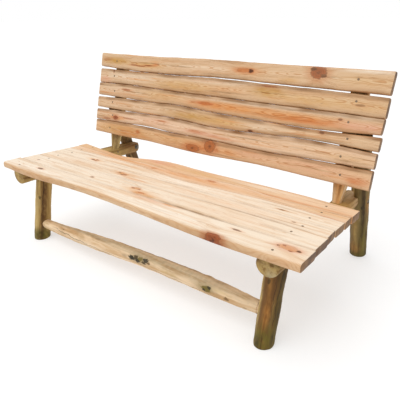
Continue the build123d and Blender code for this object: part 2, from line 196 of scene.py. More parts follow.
def add_layer(mesh, key, values):
    """Keeps a row of values for each point: one number, a vector of three or a colour of four."""
    columns = values.shape[1]
    kind, field = {1: ("FLOAT", "value"), 3: ("FLOAT_VECTOR", "vector"), 4: ("FLOAT_COLOR", "color")}[columns]
    layer = mesh.attributes.new(key, kind, "POINT")
    layer.data.foreach_set(field, values.astype(np.float32).ravel())


def shade_smooth(mesh, sharpest):
    """Smooth shading, with a hard edge wherever two faces turn by more than the given degrees."""
    mesh.polygons.foreach_set("use_smooth", np.ones(len(mesh.polygons), bool))
    mesh.set_sharp_from_angle(angle=math.radians(sharpest))


def capped_tube(name, points, layers):
    """A closed skin from a grid whose rows are rings: the rings are joined, and each end is a fan
    round the middle of its ring, which takes the mean of the ring's values."""
    rows, around = points.shape[:2]
    ring = np.arange(around)
    after = (ring + 1) % around
    start = around * np.arange(rows - 1)[:, None]
    quads = np.stack([start + ring, start + after, start + around + after, start + around + ring], axis=-1)
    base = (rows - 1) * around
    first = np.stack([after, ring, np.full(around, rows * around)], axis=-1)
    last = np.stack([base + ring, base + after, np.full(around, rows * around + 1)], axis=-1)
    middles = np.array([points[0].mean(0), points[-1].mean(0)])
    mesh = new_mesh(
        name, np.concatenate([points.reshape(-1, 3), middles]),
        quads.reshape(-1, 4).tolist() + first.tolist() + last.tolist(),
    )
    for key, values in layers.items():
        values = values.reshape(rows * around, -1)
        add_layer(mesh, key, np.concatenate([values, [values[:around].mean(0), values[-around:].mean(0)]]))
    mesh.validate()
    shade_smooth(mesh, 38)
    return add_object(name, mesh)


def slab_side(corner):
    """One side of a slab's section, as insets from its edge and depths below its face. It turns the
    worn corner, runs down the upright side and follows the pole's bark round to the back."""
    bend = np.radians(np.linspace(0, 90, 9))[1:]
    upright = np.array([0.3, 0.7, 1.0])
    start = SLAB_THICKNESS - BARK_ROUND
    inset = [corner * (1 - np.sin(bend)), 0 * upright, BARK_ROUND * (1 - np.cos(bend))]
    depth = [
        corner * (1 - np.cos(bend)), corner + upright * (start - corner), start + BARK_ROUND * np.sin(bend)
    ]
    return np.concatenate(inset), np.concatenate(depth)


def in_metres(marks):
    """Marks with their places and half sizes turned from millimetres to metres."""
    return [(*(size / 1000 for size in mark[:4]), *mark[4:]) for mark in marks]


def wash(tone, tint, share):
    """Moves the tone of each point towards a tint by the point's own share."""
    tone[..., :3] = tone[..., :3] * (1 - share[..., None]) + TINTS[tint] * share[..., None]


def paint_slab(
    x, y, z, middle, width, to_low, to_high, upper_side, ends, draw, seed,
    shade, grime, streaked, boldness, base, stains, knots,
):
    """What the pine of a slab reads at each point. Its wood coordinates run along the pole and square
    to its pith, which wanders below the face. Its tone starts from the base tint, which stains, thin
    streaks and painted shade along the joints cover; that painted shade stands in for the shade in the
    gaps between slabs. Its knot is the distance from the nearest knot, in that knot's half sizes, and
    the grain swerves round each one."""
    pith_y = middle + 0.008 * ripple(x, 0 * x, seed + 6, 0.9, 1)
    pith_z = -PITH_DEPTH + 0.009 * ripple(x, 0 * x, seed + 7, 0.7, 1) + draw.uniform(-0.006, 0.004)
    grain_y = (y - pith_y) * SAWN_POLE_RADIUS / (width / 2)
    tone = np.empty(x.shape + (4,))
    tone[..., :3] = TINTS[base]
    tone[..., 3] = boldness
    streaks = [
        (
            draw.uniform(*ends), middle[0, 0] + width.mean() * draw.uniform(-0.42, 0.42),
            draw.uniform(0.04, 0.16), draw.uniform(0.0028, 0.0048),
            draw.choice(["dust_and_shade", "amber", "tan"]), streaked * draw.uniform(0.4, 1),
        )
        for _ in range(14)
    ]
    breakup = 1 + 0.35 * ripple(x, y, seed + 8, 0.09, 0.016)
    for stain_x, stain_y, length, breadth, tint, amount in [*in_metres(stains), *streaks]:
        reach = ((x - stain_x) / length) ** 2 + ((y - stain_y) / breadth) ** 2
        wash(tone, tint, np.clip(amount * np.exp(-(reach**1.3)) * breakup, 0, 1))
    # Painted shade: each face darkens towards its joints, in the dust tint, standing in for the shade in the
    # narrow gaps between slabs.
    low_edge_shade, high_edge_shade, spread = grime
    edge_shade = low_edge_shade * falloff(to_low, 0, spread) + high_edge_shade * falloff(to_high, 0, spread)
    wash(tone, "dust_and_shade", edge_shade * upper_side * (0.75 + 0.5 * ripple(x, y, seed + 9, 0.4, 0.5, octaves=3)))
    tone[..., :3] *= shade
    knot = np.full(x.shape, NO_KNOT)
    knot_tint = np.zeros(x.shape + (4,))
    for knot_x, knot_y, length, breadth, tint, amount in in_metres(knots):
        reach = np.hypot((x - knot_x) / length, (y - knot_y) / breadth)
        knot_tint[reach < knot] = [*TINTS[tint], amount]
        knot = np.minimum(knot, reach)
        push = falloff(np.abs(x - knot_x), 0, 3.5 * length)
        grain_y = grain_y + 0.8 * breadth * np.tanh((y - knot_y) / breadth) * push
    grain = np.stack([x + seed, grain_y, z - pith_z], axis=-1)
    return {"grain": grain, "knot": knot, "knot_tint": knot_tint, "tone": tone}


def slab_skin(name, face, low_line, high_line, ends, corners, nails, seed, **look):
    """A slab as a surface of two parameters. Along it run lines from end to end, finer at the nails.
    Around it runs the outline, whose two sides follow the joints, which also ripple a little."""
    origin, up_slope, normal = face
    draw = np.random.default_rng(seed)
    nail_x, nail_y = np.array(nails).T
    lines = close_lines(ends[0] + END_EASE, ends[1] - END_EASE, SLAB_STEP, nail_x, NAIL_ZONE)
    part_ease = END_EASE * 0.3
    along = np.concatenate([[ends[0], ends[0] + part_ease], lines, [ends[1] - part_ease, ends[1]]])
    shrink = np.zeros(len(along))
    shrink[[0, -1]] = END_EASE
    shrink[[1, -2]] = part_ease
    low, high = (
        flowing(along, JOINT_STATIONS, line) + EDGE_RIPPLE * ripple(along, 0 * along, line_seed, 0.2, 1)
        for line, line_seed in ((low_line, seed), (high_line, seed + 10))
    )

    mean_width = np.mean(high - low)
    at_low, at_high = np.interp(nail_x, along, low), np.interp(nail_x, along, high)
    nail_share = (nail_y - at_low) / (at_high - at_low)
    across = close_lines(0.0, 1.0, SLAB_STEP_ACROSS / mean_width, nail_share, NAIL_ZONE / mean_width)
    (low_inset, low_depth), (high_inset, high_depth) = (slab_side(corner) for corner in corners)
    back = np.linspace(1, 0, 11)[1:-1]
    share = np.concatenate([across, np.ones(len(high_inset)), back, np.zeros(len(low_inset))])[None, :]
    inset = np.concatenate([
        corners[0] * (1 - across) + corners[1] * across,
        high_inset,
        high_inset[-1] * back + low_inset[-1] * (1 - back),
        low_inset[::-1],
    ])[None, :]
    depth = np.concatenate([0 * across, high_depth, SLAB_THICKNESS + 0 * back, low_depth[::-1]])[None, :]
    wane = np.concatenate([
        0 * across, falloff(-high_depth, -0.006, 0.0), 0 * back, falloff(-low_depth[::-1], -0.006, 0.0)
    ])[None, :]

    x = np.repeat(along[:, None], share.shape[1], axis=1)
    lower, upper = (low + shrink)[:, None], (high - shrink)[:, None]
    bulge = 1 + 0.2 * ripple(x, share * 0.3, seed + 3, 0.5, 1)
    inset = np.where(wane > 0, inset * bulge, inset)
    lean_in = SIDE_RIPPLE * ripple(x, depth, seed + 4, 0.19, 0.08, octaves=3) * wane
    y = (lower + inset) * (1 - share) + (upper - inset) * share + lean_in
    z = -(depth * (1 - 2 * shrink[:, None] / SLAB_THICKNESS) + shrink[:, None])
    z = z + FACE_RIPPLE * ripple(x, y, seed + 5, 0.24, 0.07) * (1 - wane)
    on_top = depth < 0.002
    for dent_x, dent_y in nails:
        reach = np.hypot(x - dent_x, y - dent_y)
        z = z - on_top * NAIL_DENT_DEPTH * falloff(reach, NAIL_DENT_FLOOR, NAIL_DENT_RADIUS)
    skew = draw.uniform(-END_SKEW, END_SKEW, 2)
    middle = (low + high)[:, None] / 2
    near_start, near_end = falloff(x - ends[0], 0, 0.05), falloff(ends[1] - x, 0, 0.05)
    x = x + near_start * skew[0] * (y - middle) + near_end * skew[1] * (y - middle)

    layers = paint_slab(
        x, y, z, middle, (high - low)[:, None], y - lower - inset, upper - inset - y,
        depth < SLAB_THICKNESS / 3, ends, draw, seed, **look,
    )
    layers["wane"] = wane + 0 * x
    layers["sawn_end"] = np.zeros(x.shape)
    layers["sawn_end"][[0, -1]] = 1
    points = origin + x[..., None] * np.array([1.0, 0, 0]) + y[..., None] * up_slope + z[..., None] * normal
    turned_out = {key: values[:, ::-1] for key, values in layers.items()}
    return capped_tube(name, points[:, ::-1], turned_out)


class Shader:
    """Short calls that add nodes to one material and return what they put out."""

    def __init__(self, name):
        self.material = bpy.data.materials.new(name)
        self.material.use_nodes = True
        self.tree = self.material.node_tree
        self.surface = self.tree.nodes["Principled BSDF"]

    def plug(self, socket, value):
        """Links another node's socket, or sets a number, a vector or a tint of three parts."""
        if isinstance(value, bpy.types.NodeSocket):
            self.tree.links.new(value, socket)
        elif isinstance(value, np.ndarray):
            socket.default_value = [*map(float, value), 1.0]
        else:
            socket.default_value = value

    def node(self, kind, inputs, **settings):
        """Adds a node with its settings, fills its inputs by name or number, and gives its outputs."""
        node = self.tree.nodes.new("ShaderNode" + kind)
        for key, value in settings.items():
            setattr(node, key, value)
        for key, value in inputs.items():
            self.plug(node.inputs[key], value)
        return node.outputs

    def attribute(self, name, output="Fac"):
        return self.node("Attribute", {}, attribute_name=name)[output]

    def math(self, operation, *values):
        return self.node("Math", dict(enumerate(values)), operation=operation)[0]

    def times(self, first, second):
        return self.math("MULTIPLY", first, second)

    def plus(self, first, second):
        return self.math("ADD", first, second)

    def less(self, first, second):
        return self.math("SUBTRACT", first, second)

    def stretch(self, place, scale):
        return self.node("VectorMath", {0: place, 1: scale}, operation="MULTIPLY")["Vector"]

    def noise(self, place, scale, detail=3.0, roughness=0.55):
        inputs = {"Vector": self.stretch(place, scale), "Scale": 1, "Detail": detail, "Roughness": roughness}
        return self.node("TexNoise", inputs)["Fac"]

    def remap(self, value, low, high, to_low=0.0, to_high=1.0, kind="SMOOTHSTEP"):
        inputs = {"Value": value, "From Min": low, "From Max": high, "To Min": to_low, "To Max": to_high}
        return self.node("MapRange", inputs, interpolation_type=kind)["Result"]

    def blend(self, amount, first, second, mode="MIX"):
        """Mixes two colours. A Mix node takes colours at inputs 6 and 7 and gives one at output 2."""
        return self.node("Mix", {0: amount, 6: first, 7: second}, data_type="RGBA", blend_type=mode)[2]

    def stain(self, amount, face, tint):
        """Multiplies the face by a tint, in full where the amount is 1."""
        return self.blend(amount, face, tint, "MULTIPLY")

    def finish(self, face, roughness, height, bump, distance, specular):
        relief = self.node("Bump", {"Strength": bump, "Distance": distance, "Height": height})["Normal"]
        settings = {
            "Base Color": face, "Roughness": roughness, "Specular IOR Level": specular, "Normal": relief
        }
        for key, value in settings.items():
            self.plug(self.surface.inputs[key], value)
        return self.material


def planed_pine():
    """Sawn and planed pine: growth rings round the pith, fibres along it, knots and waney sides."""
    pine = Shader("planed_pine")
    grain = pine.attribute("grain", "Vector")
    tone = pine.attribute("tone", "Color")
    boldness = pine.attribute("tone", "Alpha")
    knot = pine.attribute("knot")
    knot_tint = pine.attribute("knot_tint", "Color")
    knot_amount = pine.attribute("knot_tint", "Alpha")
    sway = pine.noise(grain, (2.2, 22, 22), detail=2)
    from_pith = pine.node("VectorMath", {0: pine.stretch(grain, (0, 1, 1))}, operation="LENGTH")["Value"]
    from_pith = pine.plus(from_pith, pine.times(sway, 0.011))
    ring = pine.math("SINE", pine.times(from_pith, 2 * math.pi / RING_SPACING))
    late = pine.remap(ring, 0.1, 1.0)
    fibre = pine.noise(grain, (7, 330, 330), detail=4, roughness=0.6)
    streak = pine.noise(grain, (1.6, 46, 46), detail=3)
    blotch = pine.noise(grain, (4, 16, 16), detail=2)

    face = pine.stain(pine.times(pine.times(late, 0.66), boldness), tone, srgb(222, 186, 148))
    face = pine.stain(pine.remap(streak, 0.46, 0.72, 0.0, 0.55), face, srgb(230, 202, 170))
    face = pine.stain(pine.remap(blotch, 0.5, 0.8, 0.0, 0.35), face, srgb(244, 222, 198))
    dark_fibre = pine.times(pine.remap(fibre, 0.54, 0.74, 0.0, 0.75), boldness)
    face = pine.stain(dark_fibre, face, srgb(186, 150, 112))
    face = pine.stain(pine.attribute("wane"), face, srgb(232, 210, 184))
    end_grain = pine.blend(pine.times(late, 0.5), srgb(142, 104, 64), srgb(92, 60, 32))
    end_grain = pine.stain(pine.remap(blotch, 0.4, 0.7), end_grain, srgb(170, 150, 128))
    face = pine.blend(pine.times(pine.attribute("sawn_end"), 0.95), face, end_grain)

    wobble = pine.noise(grain, (55, 90, 90), detail=3)
    unevenness = pine.remap(boldness, 0.4, 0.7, 1.3, 0.7, "LINEAR")
    reach = pine.plus(knot, pine.times(pine.less(wobble, 0.5), unevenness))
    halo = pine.times(pine.remap(reach, 2.3, 0.9), pine.times(knot_amount, 0.55))
    face = pine.stain(halo, face, srgb(226, 158, 98))
    inside = pine.times(pine.remap(reach, 1.08, 0.82), knot_amount)
    turns = pine.remap(pine.math("SINE", pine.times(reach, 26)), -1.0, 1.0, 0.66, 1.0)
    heart = pine.remap(reach, 0.42, 0.12, 1.0, pine.remap(knot_amount, 0.6, 0.9, 1.0, 0.35))
    knot_shade = pine.blend(pine.times(turns, heart), srgb(60, 30, 16), srgb(255, 255, 255))
    face = pine.blend(inside, face, pine.stain(1.0, knot_tint, knot_shade))
    rim = pine.remap(pine.math("ABSOLUTE", pine.less(reach, 0.98)), 0.12, 0.0)
    face = pine.blend(pine.times(pine.times(rim, knot_amount), 0.5), face, TINTS["umber"])

    height = pine.plus(pine.times(fibre, 0.6), pine.times(late, 0.35))
    height = pine.less(height, pine.times(inside, 0.5))
    roughness = pine.remap(fibre, 0.3, 0.8, 0.52, 0.68, "LINEAR")
    return pine.finish(face, roughness, height, 0.32, 0.0006, 0.32)


# Stains and knots on the seat, slab by slab from the front: place along and place from the front
# edge, half length and half breadth, all in millimetres, then tint and strength
seat_marks = [
    dict(
        base="cream",
        stains=[
            (-620, 40, 300, 30, "ivory", 0.6), (300, 60, 260, 40, "ivory", 0.7),
            (555, 0, 60, 20, "rust", 0.9), (820, 80, 60, 22, "rose", 0.8),
            (-20, 100, 220, 22, "peach", 0.6), (140, 100, 100, 12, "rose", 0.5),
            (250, 110, 50, 10, "amber", 0.7), (330, 117, 260, 4, "dust_and_shade", 0.8),
            (450, 4, 450, 16, "tan", 0.5), (-450, 10, 450, 18, "tan", 0.6),
            (870, 30, 100, 30, "peach", 0.5),
        ],
        knots=[
            (-626, 66, 22, 8, "umber", 0.75), (600, 88, 24, 5, "umber", 0.7),
            (818, 82, 36, 17, "amber", 0.42), (858, 79, 9, 6, "umber", 0.9), (832, 66, 8, 5, "rust", 0.85),
            (800, 90, 12, 5, "rust", 0.7), (779, 79, 6, 4, "umber", 0.8), (553, 1, 34, 15, "rust", 0.95),
        ],
    ),
    dict(
        base="cream",
        stains=[
            (-700, 160, 200, 40, "ivory", 0.5), (20, 150, 110, 20, "peach", 0.9),
            (60, 130, 90, 14, "amber", 0.7), (450, 175, 250, 40, "blush", 0.5),
            (750, 180, 180, 50, "cream", 0.5), (300, 130, 300, 12, "honey", 0.35),
            (330, 123, 260, 4, "dust_and_shade", 0.6), (550, 236, 240, 4, "dust_and_shade", 0.5),
        ],
        knots=[
            (-305, 143, 11, 6, "umber", 0.7), (-15, 168, 20, 10, "amber", 0.6),
            (-30, 160, 10, 6, "rust", 0.8), (4, 163, 12, 5, "rust", 0.75), (45, 138, 20, 6, "orange", 0.6),
            (-780, 150, 12, 6, "umber", 0.4),
        ],
    ),
    dict(
        base="cream",
        stains=[
            (-220, 268, 90, 22, "peach", 0.9), (450, 270, 350, 35, "blush", 0.6),
            (-650, 250, 200, 30, "blush", 0.35), (-100, 245, 90, 10, "amber", 0.5),
        ],
        knots=[
            (-240, 270, 18, 11, "amber", 0.6), (-256, 276, 7, 5, "umber", 0.8),
            (-205, 264, 13, 8, "rust", 0.65), (-222, 259, 10, 4, "umber", 0.8),
            (735, 277, 8, 5, "umber", 0.45),
        ],
    ),
    dict(
        base="cream",
        stains=[
            (-530, 340, 70, 18, "peach", 0.9), (100, 350, 300, 30, "ivory", 0.7),
            (645, 353, 35, 6, "tan", 0.9), (-300, 380, 250, 14, "peach", 0.5),
            (800, 370, 120, 20, "blush", 0.5),
        ],
        knots=[
            (-548, 336, 14, 6, "umber", 0.8), (-522, 345, 12, 5, "rust", 0.75),
            (-518, 329, 12, 5, "rust", 0.7), (640, 354, 16, 4, "umber", 0.6),
        ],
    ),
    dict(
        base="blush",
        stains=[
            (-750, 440, 200, 20, "peach", 0.6), (-450, 440, 220, 14, "amber", 0.75),
            (120, 430, 360, 26, "amber", 0.6), (450, 430, 160, 20, "peach", 0.6),
            (800, 430, 160, 20, "honey", 0.35), (700, 398, 200, 5, "orange", 0.6),
        ],
        knots=[(200, 452, 26, 8, "orange", 0.6), (-170, 430, 18, 8, "orange", 0.5)],
    ),
    dict(
        base="peach",
        stains=[
            (-750, 500, 200, 22, "honey", 0.4), (-500, 480, 140, 16, "amber", 0.5),
            (-220, 520, 100, 28, "rose", 0.85), (100, 510, 220, 20, "honey", 0.5),
            (450, 525, 220, 20, "cream", 0.7), (750, 500, 200, 30, "blush", 0.7),
            (600, 466, 300, 7, "orange", 0.55),
        ],
        knots=[],
    ),
]

pine_face = planed_pine()
for k in range(6):
    low_line = seat_joints[k] + (SEAT_GAP / 2 if k else 0)
    high_line = seat_joints[k + 1] - (SEAT_GAP / 2 if k < 5 else 0)
    # Painted shade darkens each slab's face along its joints, standing in for the shade in the gaps.
    slat = slab_skin(
        f"seat_slab_{k + 1}", seat_face, low_line, high_line, seat_ends[k],
        (0.015 if k == 0 else 0.003, 0.008 if k == 5 else 0.003),
        [(side * seat_nail_columns[k], seat_nail_lines[k]) for side in (-1, 1)], 11 + 10 * k,
        shade=1.0, grime=(0.15 if k else 0, 0.26 if k < 5 else 0.1, 0.008), streaked=0.35, boldness=0.45,
        **seat_marks[k],
    )
    slat.data.materials.append(pine_face)
    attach(slat, "root")
    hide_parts(f"seat_slat_{k + 1}")

# ---------------------------------------------------------------------------------------------------
# Back boards. Six slabs of the same kind are nailed across the two posts, from the lowest up. They
# stand a little apart, with wider gaps at their ends, where daylight shows through.
# ---------------------------------------------------------------------------------------------------
BACK_TILT = math.radians(16.5)
BACK_FROM_FRONT = 0.631
BACK_FOOT_HEIGHT = 0.471
back_face = (
    np.array([0, seat_front + BACK_FROM_FRONT, BACK_FOOT_HEIGHT]),
    np.array([0, math.sin(BACK_TILT), math.cos(BACK_TILT)]),
    np.array([0, -math.cos(BACK_TILT), math.sin(BACK_TILT)]),
)

# Where the boards' joints run, in millimetres up from the foot of the back, and how wide they gape
back_joints = np.array([
    [9, 8, 11, 7, 3, 11, 6, 0],
    [85, 89, 92, 86, 87, 81, 86, 89],
    [156, 161, 164, 166, 155, 160, 171, 162],
    [232, 235, 234, 239, 229, 223, 220, 230],
    [313, 317, 313, 310, 309, 306, 305, 301],
    [405, 398, 397, 397, 402, 398, 395, 390],
    [490, 488, 487, 489, 491, 488, 488, 488],
]) / 1000
back_gaps = np.array([
    [2, 1, 5, 2, 0.7, 0.7, 1.5, 7],
    [13, 2, 0.7, 0.7, 0.7, 0.7, 1.5, 7],
    [12, 2, 0.7, 0.7, 0.7, 0.7, 2, 9],
    [2, 1, 0.7, 0.7, 0.7, 0.7, 0.8, 1],
    [14, 3, 2, 3, 5, 6, 6, 10],
]) / 1000
back_ends = np.array([
    [-895, 896], [-898, 896], [-897, 898], [-895, 894], [-892, 896], [-894, 895]
]) / 1000
back_nail_lines = np.array([44, 122, 201, 270, 358, 446]) / 1000
back_nail_columns = 0.756 + nail_stagger

# Stains and knots on the back, board by board from the lowest, as on the seat, with the second place
# up the slope from the foot of the boards
back_marks = [
    dict(
        base="peach",
        stains=[
            (-640, 40, 220, 34, "honey", 0.9), (-600, 35, 120, 18, "orange", 0.5),
            (-200, 50, 200, 30, "honey", 0.45), (-20, 35, 120, 30, "amber", 0.6),
            (170, 40, 80, 16, "amber", 0.6), (300, 55, 100, 20, "rose", 0.5),
            (620, 50, 200, 30, "rose", 0.45), (840, 30, 50, 18, "orange", 0.7),
        ],
        knots=[
            (-78, 26, 46, 20, "copper", 0.85), (38, 53, 36, 32, "copper", 0.88),
            (38, 53, 16, 15, "orange", 0.9), (-510, 52, 14, 9, "orange", 0.7),
        ],
    ),
    dict(
        base="blush",
        stains=[
            (-800, 115, 100, 30, "sand", 0.7), (-700, 112, 90, 14, "amber", 0.7),
            (-380, 130, 160, 28, "rose", 0.35), (-30, 112, 130, 12, "rose", 0.8),
            (100, 104, 100, 7, "orange", 0.6), (500, 130, 300, 26, "peach", 0.6),
            (450, 150, 200, 12, "cream", 0.6), (800, 115, 140, 20, "honey", 0.4),
        ],
        knots=[
            (-717, 112, 22, 12, "rust", 0.9), (-795, 99, 30, 5, "rust", 0.55),
            (-600, 119, 50, 4, "rust", 0.5), (-325, 138, 34, 4, "orange", 0.6),
            (-80, 116, 40, 7, "orange", 0.4),
        ],
    ),
    dict(
        base="sand",
        stains=[
            (-600, 195, 280, 30, "blush", 0.5), (-100, 190, 180, 20, "mustard", 0.8),
            (100, 188, 140, 20, "honey", 0.8), (320, 200, 140, 20, "cream", 0.4),
            (550, 175, 200, 10, "grey", 0.5), (600, 205, 240, 20, "peach", 0.6),
        ],
        knots=[(270, 166, 14, 6, "umber", 0.85), (640, 210, 12, 6, "umber", 0.6)],
    ),
    dict(
        base="sand",
        stains=[
            (-700, 270, 240, 34, "blush", 0.5), (-360, 275, 160, 28, "honey", 0.45),
            (100, 262, 260, 22, "amber", 0.95), (500, 256, 300, 24, "amber", 0.9),
            (550, 250, 160, 14, "orange", 0.6), (820, 256, 120, 20, "rose", 0.8),
            (450, 294, 600, 9, "cream", 0.6), (-40, 268, 90, 8, "orange", 0.6),
        ],
        knots=[
            (-645, 286, 36, 4, "rust", 0.65), (-30, 268, 30, 7, "orange", 0.7),
            (712, 276, 10, 5, "umber", 0.6),
        ],
    ),
    dict(
        base="sand",
        stains=[
            (-845, 335, 50, 22, "rose", 0.8), (-620, 365, 260, 24, "cream", 0.4),
            (-200, 340, 220, 26, "honey", 0.75), (0, 380, 260, 10, "cream", 0.5),
            (330, 360, 90, 26, "mustard", 0.8), (550, 340, 220, 24, "honey", 0.6),
            (820, 340, 100, 24, "honey", 0.4), (100, 345, 120, 20, "amber", 0.35),
        ],
        knots=[
            (-770, 388, 5, 10, "umber", 0.7), (338, 384, 46, 4, "rust", 0.6),
            (785, 343, 22, 5, "umber", 0.45),
        ],
    ),
    dict(
        base="sand",
        stains=[
            (-760, 448, 120, 20, "mustard", 0.95), (-840, 454, 40, 10, "rust", 0.5),
            (-500, 436, 130, 16, "honey", 0.85), (-425, 442, 25, 10, "orange", 0.7),
            (-100, 450, 200, 26, "blush", 0.5), (190, 447, 90, 18, "amber", 0.7),
            (420, 430, 100, 30, "peach", 0.5), (430, 418, 50, 12, "honey", 0.6),
            (800, 440, 120, 24, "honey", 0.35), (800, 479, 140, 7, "cream", 0.8),
        ],
        knots=[
            (218, 447, 17, 9, "umber", 0.95), (180, 447, 45, 9, "orange", 0.6),
            (570, 462, 38, 27, "rust", 0.8), (548, 474, 18, 10, "umber", 0.8),
            (594, 450, 18, 10, "umber", 0.7), (572, 462, 14, 10, "copper", 0.8),
            (-600, 431, 34, 3, "rust", 0.8), (-540, 428, 40, 3, "rust", 0.8),
            (-480, 434, 34, 3, "rust", 0.8),
        ],
    ),
]
for k in range(6):
    low_line = back_joints[k] + (back_gaps[k - 1] / 2 if k else 0)
    high_line = back_joints[k + 1] - (back_gaps[k] / 2 if k < 5 else 0)
    # Painted shade darkens each board's face along its joints, most along its top edge, standing in for the
    # shadow of the board above.
    board = slab_skin(
        f"back_slab_{6 - k}", back_face, low_line, high_line, back_ends[k], (0.008, 0.009),
        [(side * back_nail_columns[k], back_nail_lines[k]) for side in (-1, 1)], 111 + 10 * k,
        shade=0.99, grime=(0.35 if k else 0.2, 0.85 if k < 5 else 0.05, 0.013), streaked=0.7, boldness=1.0,
        **back_marks[k],
    )
    board.data.materials.append(pine_face)
    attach(board, "root")
    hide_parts(f"back_board_{6 - k}")

# ---------------------------------------------------------------------------------------------------
# Logs. Bearers, legs, posts and the stretcher are peeled poles, left round, with small bumps, trimmed
# knots and drying cracks. Flats are planed or sawn where they carry the slabs or lap each other, and
# the bolt heads and washers sit in round spot faces.
# ---------------------------------------------------------------------------------------------------
BEARER_X = 0.7735
BEARER_SETBACK = 0.020
BEARER_LENGTH = 0.828
BEARER_RADIUS = 0.046
BEARER_FLAT = 0.021
FRONT_LEG_X = 0.749
FRONT_FOOT = 0.054
FRONT_LEAN = math.radians(14.7)
REAR_LEG_X = 0.811
REAR_FOOT = 0.909
REAR_LEAN = math.radians(15.1)
LEG_SWELL = 0.0006
POST_X = 0.756
POST_RADIUS = 0.041
POST_TENON_RADIUS = 0.022
POST_TENON_LENGTH = 0.060
POST_EASE = 0.004
POST_TAPER = 0.135
POST_HEART_DEPTH = 0.0535
POST_TOP = 0.476
FRONT_LAP_X = 0.7595
REAR_LAP_X = 0.79425
BRACE_LAP_X = 0.783
LAP_PLAY = 0.0013
LAP_REACH = 0.1
LAP_LENGTH = 0.4
FLAT_WIDTH = 0.2
SPOT_RADIUS = 0.0155
SPOT_DEPTH = 0.006
SPOT_REACH = 0.05
SPOT_SIDES = 48
front_radii = {-1: (0.042, 0.040), 1: (0.041, 0.0425)}
rear_radii = {-1: (0.039, 0.037), 1: (0.042, 0.042)}
rear_tops = {-1: 0.668, 1: 0.705}
HANDS = {-1: "left", 1: "right"}

# A log's skin: its grid, the radius at which distances round it are taken, its unevenness, and the
# length under which an edge that a cut leaves behind is dropped
POLE_COLUMNS = 96
POLE_STEP = 0.004
POLE_GIRTH = 0.043
POLE_LUMPS = 0.0011
SLIVER = 0.00006


def on_face(face, x, up_slope, depth):
    """A point at a place along the bench, a distance up a sloping face and a depth below it."""
    origin, slope, normal = face
    return origin + np.array([x, 0, 0]) + up_slope * slope - depth * normal


def crossing(point_a, way_a, point_b, way_b):
    """Where two heart lines cross in a side view, given at the first one's place along the bench."""
    across = way_a[1] * way_b[2] - way_a[2] * way_b[1]
    gap = point_b - point_a
    return point_a + way_a * (gap[1] * way_b[2] - gap[2] * way_b[1]) / across


def pole_frame(axis):
    """Two spokes square to an axis: the first one points to the bench's right end or its back."""
    guide = np.array([0, 1.0, 0]) if abs(axis[0]) > 0.9 else np.array([1.0, 0, 0])
    first = guide - axis * (guide @ axis)
    first = first / np.linalg.norm(first)
    return first, np.cross(axis, first)


def short_way(turn):
    """The same angle, brought to within half a turn either way."""
    return np.angle(np.exp(1j * turn))


def pole_skin(name, start, axis, profile, ends, eases, seed, bumps, sway):
    """A pole as a surface of its length and its turn. Its radius follows a profile of lengths and radii,
    plus ripples and bumps, and each end is cut off along a plane and eased."""
    first, second = pole_frame(axis)
    turn = np.linspace(0, 2 * np.pi, POLE_COLUMNS, endpoint=False)
    spoke = np.cos(turn)[:, None] * first + np.sin(turn)[:, None] * second
    spans = [(np.dot(point - start, normal) / (axis @ normal)) for point, normal in ends]
    length = spans[1] - spans[0]
    body = np.linspace(eases[0], length - eases[1], int(length / POLE_STEP))
    arc = np.radians(np.linspace(0, 90, 7))[:-1]
    distance = np.concatenate([
        eases[0] * (1 - np.cos(arc)), body, length - eases[1] * (1 - np.cos(arc[::-1]))
    ])
    loss = np.concatenate([eases[0] * (1 - np.sin(arc)), 0 * body, eases[1] * (1 - np.sin(arc[::-1]))])
    along = (spans[0] + distance)[:, None] + 0 * turn
    lengths, sizes = np.array(profile).T
    radius = np.interp(along, lengths, sizes)
    lumps = ripple(along, POLE_GIRTH * np.cos(turn)[None, :] + 0 * along, seed, 0.16, 0.06) + ripple(
        along, POLE_GIRTH * np.sin(turn)[None, :] + 0 * along, seed + 1, 0.21, 0.07
    )
    radius = radius + POLE_LUMPS * lumps * np.minimum(1, radius / 0.03)
    for bump_along, bump_turn, bump_length, bump_width, height in bumps:
        aside = short_way(turn[None, :] - math.radians(bump_turn)) * radius
        reach = ((along - bump_along) / bump_length) ** 2 + (aside / bump_width) ** 2
        radius = radius + height * np.exp(-(reach**1.5))
    radius = radius - loss[:, None]
    cuts = [
        (np.dot(point - start, normal) - radius * (spoke @ normal)[None, :]) / (axis @ normal)
        for point, normal in ends
    ]
    share = (distance / length)[:, None]
    along = cuts[0] * (1 - share) + cuts[1] * share
    bow = sway * np.sin(np.pi * share) ** 2
    tilt = np.random.default_rng(seed).uniform(0, 2 * np.pi)
    points = (
        start
        + along[..., None] * axis
        + radius[..., None] * spoke[None, :, :]
        + bow[..., None] * (math.cos(tilt) * first + math.sin(tilt) * second)
    )
    return capped_tube(name, points, {})


def box_cutter(centre, ways, sizes):
    """A box for cutting: its middle, its three directions and its full sizes."""
    corners = np.array([[i, j, k] for i in (-0.5, 0.5) for j in (-0.5, 0.5) for k in (-0.5, 0.5)])
    sides = [(0, 1, 3, 2), (4, 6, 7, 5), (0, 4, 5, 1), (2, 3, 7, 6), (0, 2, 6, 4), (1, 5, 7, 3)]
    if np.linalg.det(np.array(ways)) < 0:
        sides = [side[::-1] for side in sides]
    places = centre + (corners * np.array(sizes)) @ np.array(ways)
    return add_object("cutter", new_mesh("cutter", places, sides))


def flat(face, x, middle, length, thickness):
    """Planes a log flat along the back of the slabs on a face, from there outwards."""
    centre = on_face(face, x, middle, SLAB_THICKNESS) + face[2] * thickness / 2
    return box_cutter(centre, (along_bench, face[1], face[2]), (FLAT_WIDTH, length, thickness))


def lap(side, lap_x, joint, way, radius, outwards):
    """A slot across a pole where another pole laps it, open on the outer or the inner side."""
    centre = joint + along_bench * (side * (lap_x + outwards * LAP_REACH / 2) - joint[0])
    across = np.cross(way, along_bench)
    return box_cutter(centre, (along_bench, way, across), (LAP_REACH, LAP_LENGTH, 2 * (radius + LAP_PLAY)))


